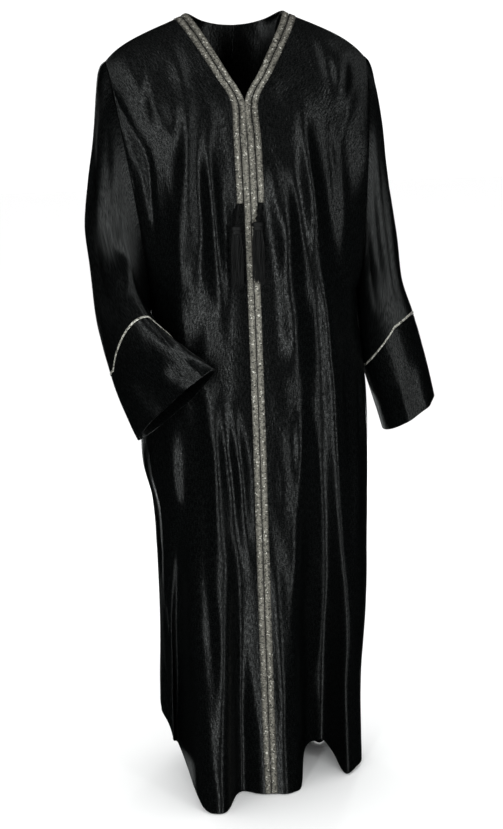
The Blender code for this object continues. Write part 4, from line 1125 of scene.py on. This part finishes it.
def add_hem_stitches(part, side, material):
    """The stitches that hold the hem of a body panel or cuff, about 12 mm above its edge."""
    # The stitches' own row is the middle one: those beside it give its normals
    above = np.array([[0.24], [0.20], [0.16]])
    if part == "cuff":
        angle = np.linspace(0, 2 * math.pi, 181)
        grid = arm_points(side, LAST_RING[side] - above, np.broadcast_to(angle, (3, 181)))
        outward = side
    else:
        first = 1.1 if part == "front" else 0
        columns = np.linspace(first, LAST_COLUMN[part], 240)[None]
        grid, _ = body_points((part, side), HEM_ROW - above, columns)
        outward = side * OUTWARD[part]
    name = f"hem_{part}_{SIDE_NAMES[side]}_stitches"
    return add_stitches(name, grid[1], outward * grid_normals(grid)[1], material)


def tubes(lines, radii, sides):
    """Many tubes at once: a ring of sides points round every point of lines (tube, point, 3)."""
    turn = np.arange(sides) * 2 * math.pi / sides
    ring = np.stack([np.cos(turn), np.sin(turn), 0 * turn], axis=-1)
    points = lines[:, :, None] + radii[..., None, None] * ring
    count, rows = lines.shape[:2]
    quads = grid_quads(rows, sides, closed=True, flip=True)
    faces = quads[None] + (np.arange(count) * rows * sides)[:, None, None]
    length = (lines[:, :1, 2] - lines[..., 2])[..., None] + 0 * turn
    over = np.broadcast_to(turn * 0.0015 + np.arange(count)[:, None, None] * 0.01, length.shape)
    return points.reshape(-1, 3), faces.reshape(-1, 4), np.stack([over, length], axis=-1)


def add_strands(side, y, material):
    """The strands of a tassel: a sunflower layout in an ellipse, each with a wave of its own."""
    hang = TASSELS[side]
    number = np.arange(STRANDS)
    reach, turn = np.sqrt((number + 0.5) / STRANDS), number * GOLDEN_ANGLE
    fall = np.linspace(0, 1, 14)[None]
    open_out = 0.72 + 0.28 * smoothstep(fall * 3)
    x_off = (TASSEL_HALF_SIZE[0] - 0.0008) * (reach * np.cos(turn))[:, None] * open_out
    y_off = (TASSEL_HALF_SIZE[1] - 0.0008) * (reach * np.sin(turn))[:, None] * open_out
    x_off = x_off + STRAND_WAVE[0] * fall * np.sin(5 * fall + 1.7 * number[:, None])
    y_off = y_off + STRAND_WAVE[1] * fall * np.sin(4 * fall + 2.3 * number[:, None])
    top = -hang.head_down - TASSEL_HEAD * 0.75
    length = STRAND_LENGTH - 0.004 + STRAND_UNEVEN * np.sin(5.1 * number + side)[:, None]
    lines = np.stack([hang.x + x_off, y + y_off, top - length * fall], axis=-1)
    radii = np.broadcast_to(STRAND_RADIUS * (1 - 0.25 * fall**4), x_off.shape).copy()
    radii[:, -1] = CUT_END_RADIUS
    return add_mesh(f"tassel_{SIDE_NAMES[side]}_strands", *tubes(lines, radii, 3), material)


def add_head(side, y, material):
    """The head of a tassel: a turned egg whose radius ripples where thread is wound round it."""
    hang = TASSELS[side]
    share = np.linspace(0, 1, 60)[:, None]
    angle = np.linspace(0, 2 * math.pi, 36, endpoint=False)
    round_off = np.sqrt(np.clip(1 - (2 * share - 1) ** 4, 0.0004, 1))
    neck = 1 - 0.30 * np.exp(-(((share - 0.62) / 0.14) ** 2))
    wound = 1 + 0.035 * np.cos(2 * math.pi * share * 15)
    ribs = 1 + 0.04 * np.cos(18 * angle) * (share < 0.5)
    radius = round_off * neck * wound * ribs * 0.92
    x = hang.x + TASSEL_HALF_SIZE[0] * radius * np.cos(angle)
    depth = y + TASSEL_HALF_SIZE[1] * radius * np.sin(angle)
    z = -hang.head_down - TASSEL_HEAD * share + 0 * angle
    grid = np.stack([x, depth, z], axis=-1)
    return add_surface(f"tassel_{SIDE_NAMES[side]}_head", grid, material, closed=True, flip=True)


def add_tassel_cord(side, y, material):
    """The cord that a tassel hangs from: three plies twisted together, swelling at its knots."""
    hang = TASSELS[side]
    share = np.linspace(0, 1, 70)
    swell = np.maximum(*(np.exp(-(((share - place) / width) ** 2)) for place, width in CORD_KNOTS))
    front, _ = body_points(("front", side), np.array([[float(PLACKET_ROW)]]), np.array([[1.5]]))
    start = np.array([hang.cord_x, front[0, 0, 1] - CORD_STAND_OFF, -hang.cord_down])
    foot = np.array([hang.x, y, -hang.head_down - 0.0006])
    line = start + (foot - start) * share[:, None]
    out = PLY_OUT + KNOT_OUT * swell
    plies = []
    for ply in range(3):
        turn = 2 * math.pi * (share * CORD_TURNS + ply / 3)
        offset = np.stack([out * np.cos(turn), 0.6 * out * np.sin(turn), 0 * turn], axis=-1)
        plies.append(line + offset)
    radii = np.broadcast_to(PLY_RADIUS + KNOT_RADIUS * swell, (3, 70)).copy()
    radii[:, [0, -1]] = CUT_END_RADIUS
    name = f"tassel_cord_{SIDE_NAMES[side]}_plies"
    return add_mesh(name, *tubes(np.stack(plies), radii, 8), material)


def add_tassel(side, material):
    """A tassel: strands under a wound head, on a knotted cord."""
    foot = np.array([TASSELS[side].head_down + STRAND_LENGTH])
    y = section_value("front", foot)[0] - TASSEL_STAND_OFF
    strands = add_strands(side, y, material)
    head = add_head(side, y, material)
    cord = add_tassel_cord(side, y, material)
    for piece in (strands, head):
        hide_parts("tassel_" + SIDE_NAMES[side])
    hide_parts("tassel_cord_" + SIDE_NAMES[side])
    return [strands, head, cord]


def add_camera():
    """The camera at the photo's angle: from the wearer's right, looking a little down."""
    turn, pitch, roll = (math.radians(angle) for angle in CAMERA_ANGLES)
    x = CAMERA_AWAY * math.sin(turn) + CAMERA_SHIFT * math.cos(turn)
    place = Matrix.Translation((x, -CAMERA_AWAY * math.cos(turn), CAMERA_HEIGHT))
    level = Matrix.Rotation(turn, 4, "Z") @ Matrix.Rotation(math.pi / 2 - pitch, 4, "X")
    camera = bpy.data.objects.new("camera", bpy.data.cameras.new("camera"))
    camera.matrix_world = place @ level @ Matrix.Rotation(-roll, 4, "Z")
    camera.data.sensor_width = SENSOR
    camera.data.lens = FOCAL_PIXELS * SENSOR / PHOTO_HEIGHT_PIXELS
    bpy.context.scene.collection.objects.link(camera)
    bpy.context.scene.camera = camera


def add_lamp(name, place, aim, size, power):
    """A soft lamp, a flat panel turned from its place to its aim, that the camera doesn't see."""
    lamp = bpy.data.lights.new(name, "AREA")
    lamp.shape = "RECTANGLE"
    lamp.size, lamp.size_y = size
    lamp.energy = power
    lamp.color = LAMP_COLOUR
    holder = bpy.data.objects.new(name, lamp)
    turned = (Vector(place) - Vector(aim)).to_track_quat("Z", "Y").to_matrix().to_4x4()
    holder.matrix_world = Matrix.Translation(place) @ turned
    holder.visible_camera = False
    bpy.context.scene.collection.objects.link(holder)


def add_stage():
    """A wide round floor of white paper in an even white room, with tall lamps round it.

    The floor is rings of points round the garment, far enough out that its edge meets the room.
    """
    turn = np.linspace(0, 2 * math.pi, 64, endpoint=False)
    reach = np.array([0.02, 1.0, 3.0, 8.0, 25.0])[:, None]
    floor = cad_box[0][2] - FLOOR_GAP
    grid = np.stack([reach * np.cos(turn), reach * np.sin(turn), floor + 0 * reach * turn], axis=-1)
    paper = add_surface("paper", grid, paper_material(), closed=True, flip=True)
    # Paper and room light the cloth softly but don't mirror in it, so that black satin stays black
    paper.visible_glossy = False
    world = bpy.data.worlds.new("room")
    bpy.context.scene.world = world
    world.use_nodes = True
    background = world.node_tree.nodes["Background"]
    feed(world.node_tree, background, Color=(1, 1, 1, 1), Strength=ROOM_LIGHT)
    world.cycles_visibility.glossy = False
    for lamp in LAMPS:
        add_lamp(*lamp)


# Plain photographic contrast, so that black cloth stays black
bpy.context.scene.view_settings.view_transform = "Standard"
add_camera()
add_stage()
satin = satin_material()
# Painted sparkle: the second colour of each glitter is that of flakes catching the light, and the
# braid's rib width gives its ribs painted shading at their edges
braid = glitter_material("pewter_glitter_braid", "#827F76", "#D6D4CA", 2.2, BRAID_FACE)
piping = glitter_material("silver_glitter_piping", "#B4B3AA", "#FFFEF6", 1.8, None)
thread = thread_material()

cloths = {**add_body_cloths(satin), **add_arm_cloths(satin)}
inner = add_braid("braid_inner_strip", 0, HEM_ROW, (0, 2), (0.03, 0.05), braid)
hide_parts("braid_inner")
outer = add_braid("braid_outer_strip", 1, PLACKET_ROW, (2, 3), (0.05, 0.02), braid)
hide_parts("braid_outer")
sewn_on = {panel: [] for panel in cloths}
sewn_on["front", RIGHT] += [inner, outer]
trims = []
for side, side_name in SIDE_NAMES.items():
    cord = add_piping(side, piping)
    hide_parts("piping_" + side_name)
    sewn_on["cuff", side].append(cord)
    tassel = add_tassel(side, thread)
    sewn_on["front", side] += tassel
    trims += [cord, *tassel]
trims += [inner, outer]
for part, side in cloths:
    if part != "sleeve":
        stitches = add_hem_stitches(part, side, thread)
        sewn_on[part, side].append(stitches)
        trims.append(stitches)

for piece in [*cloths.values(), *trims]:
    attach(piece, "root")
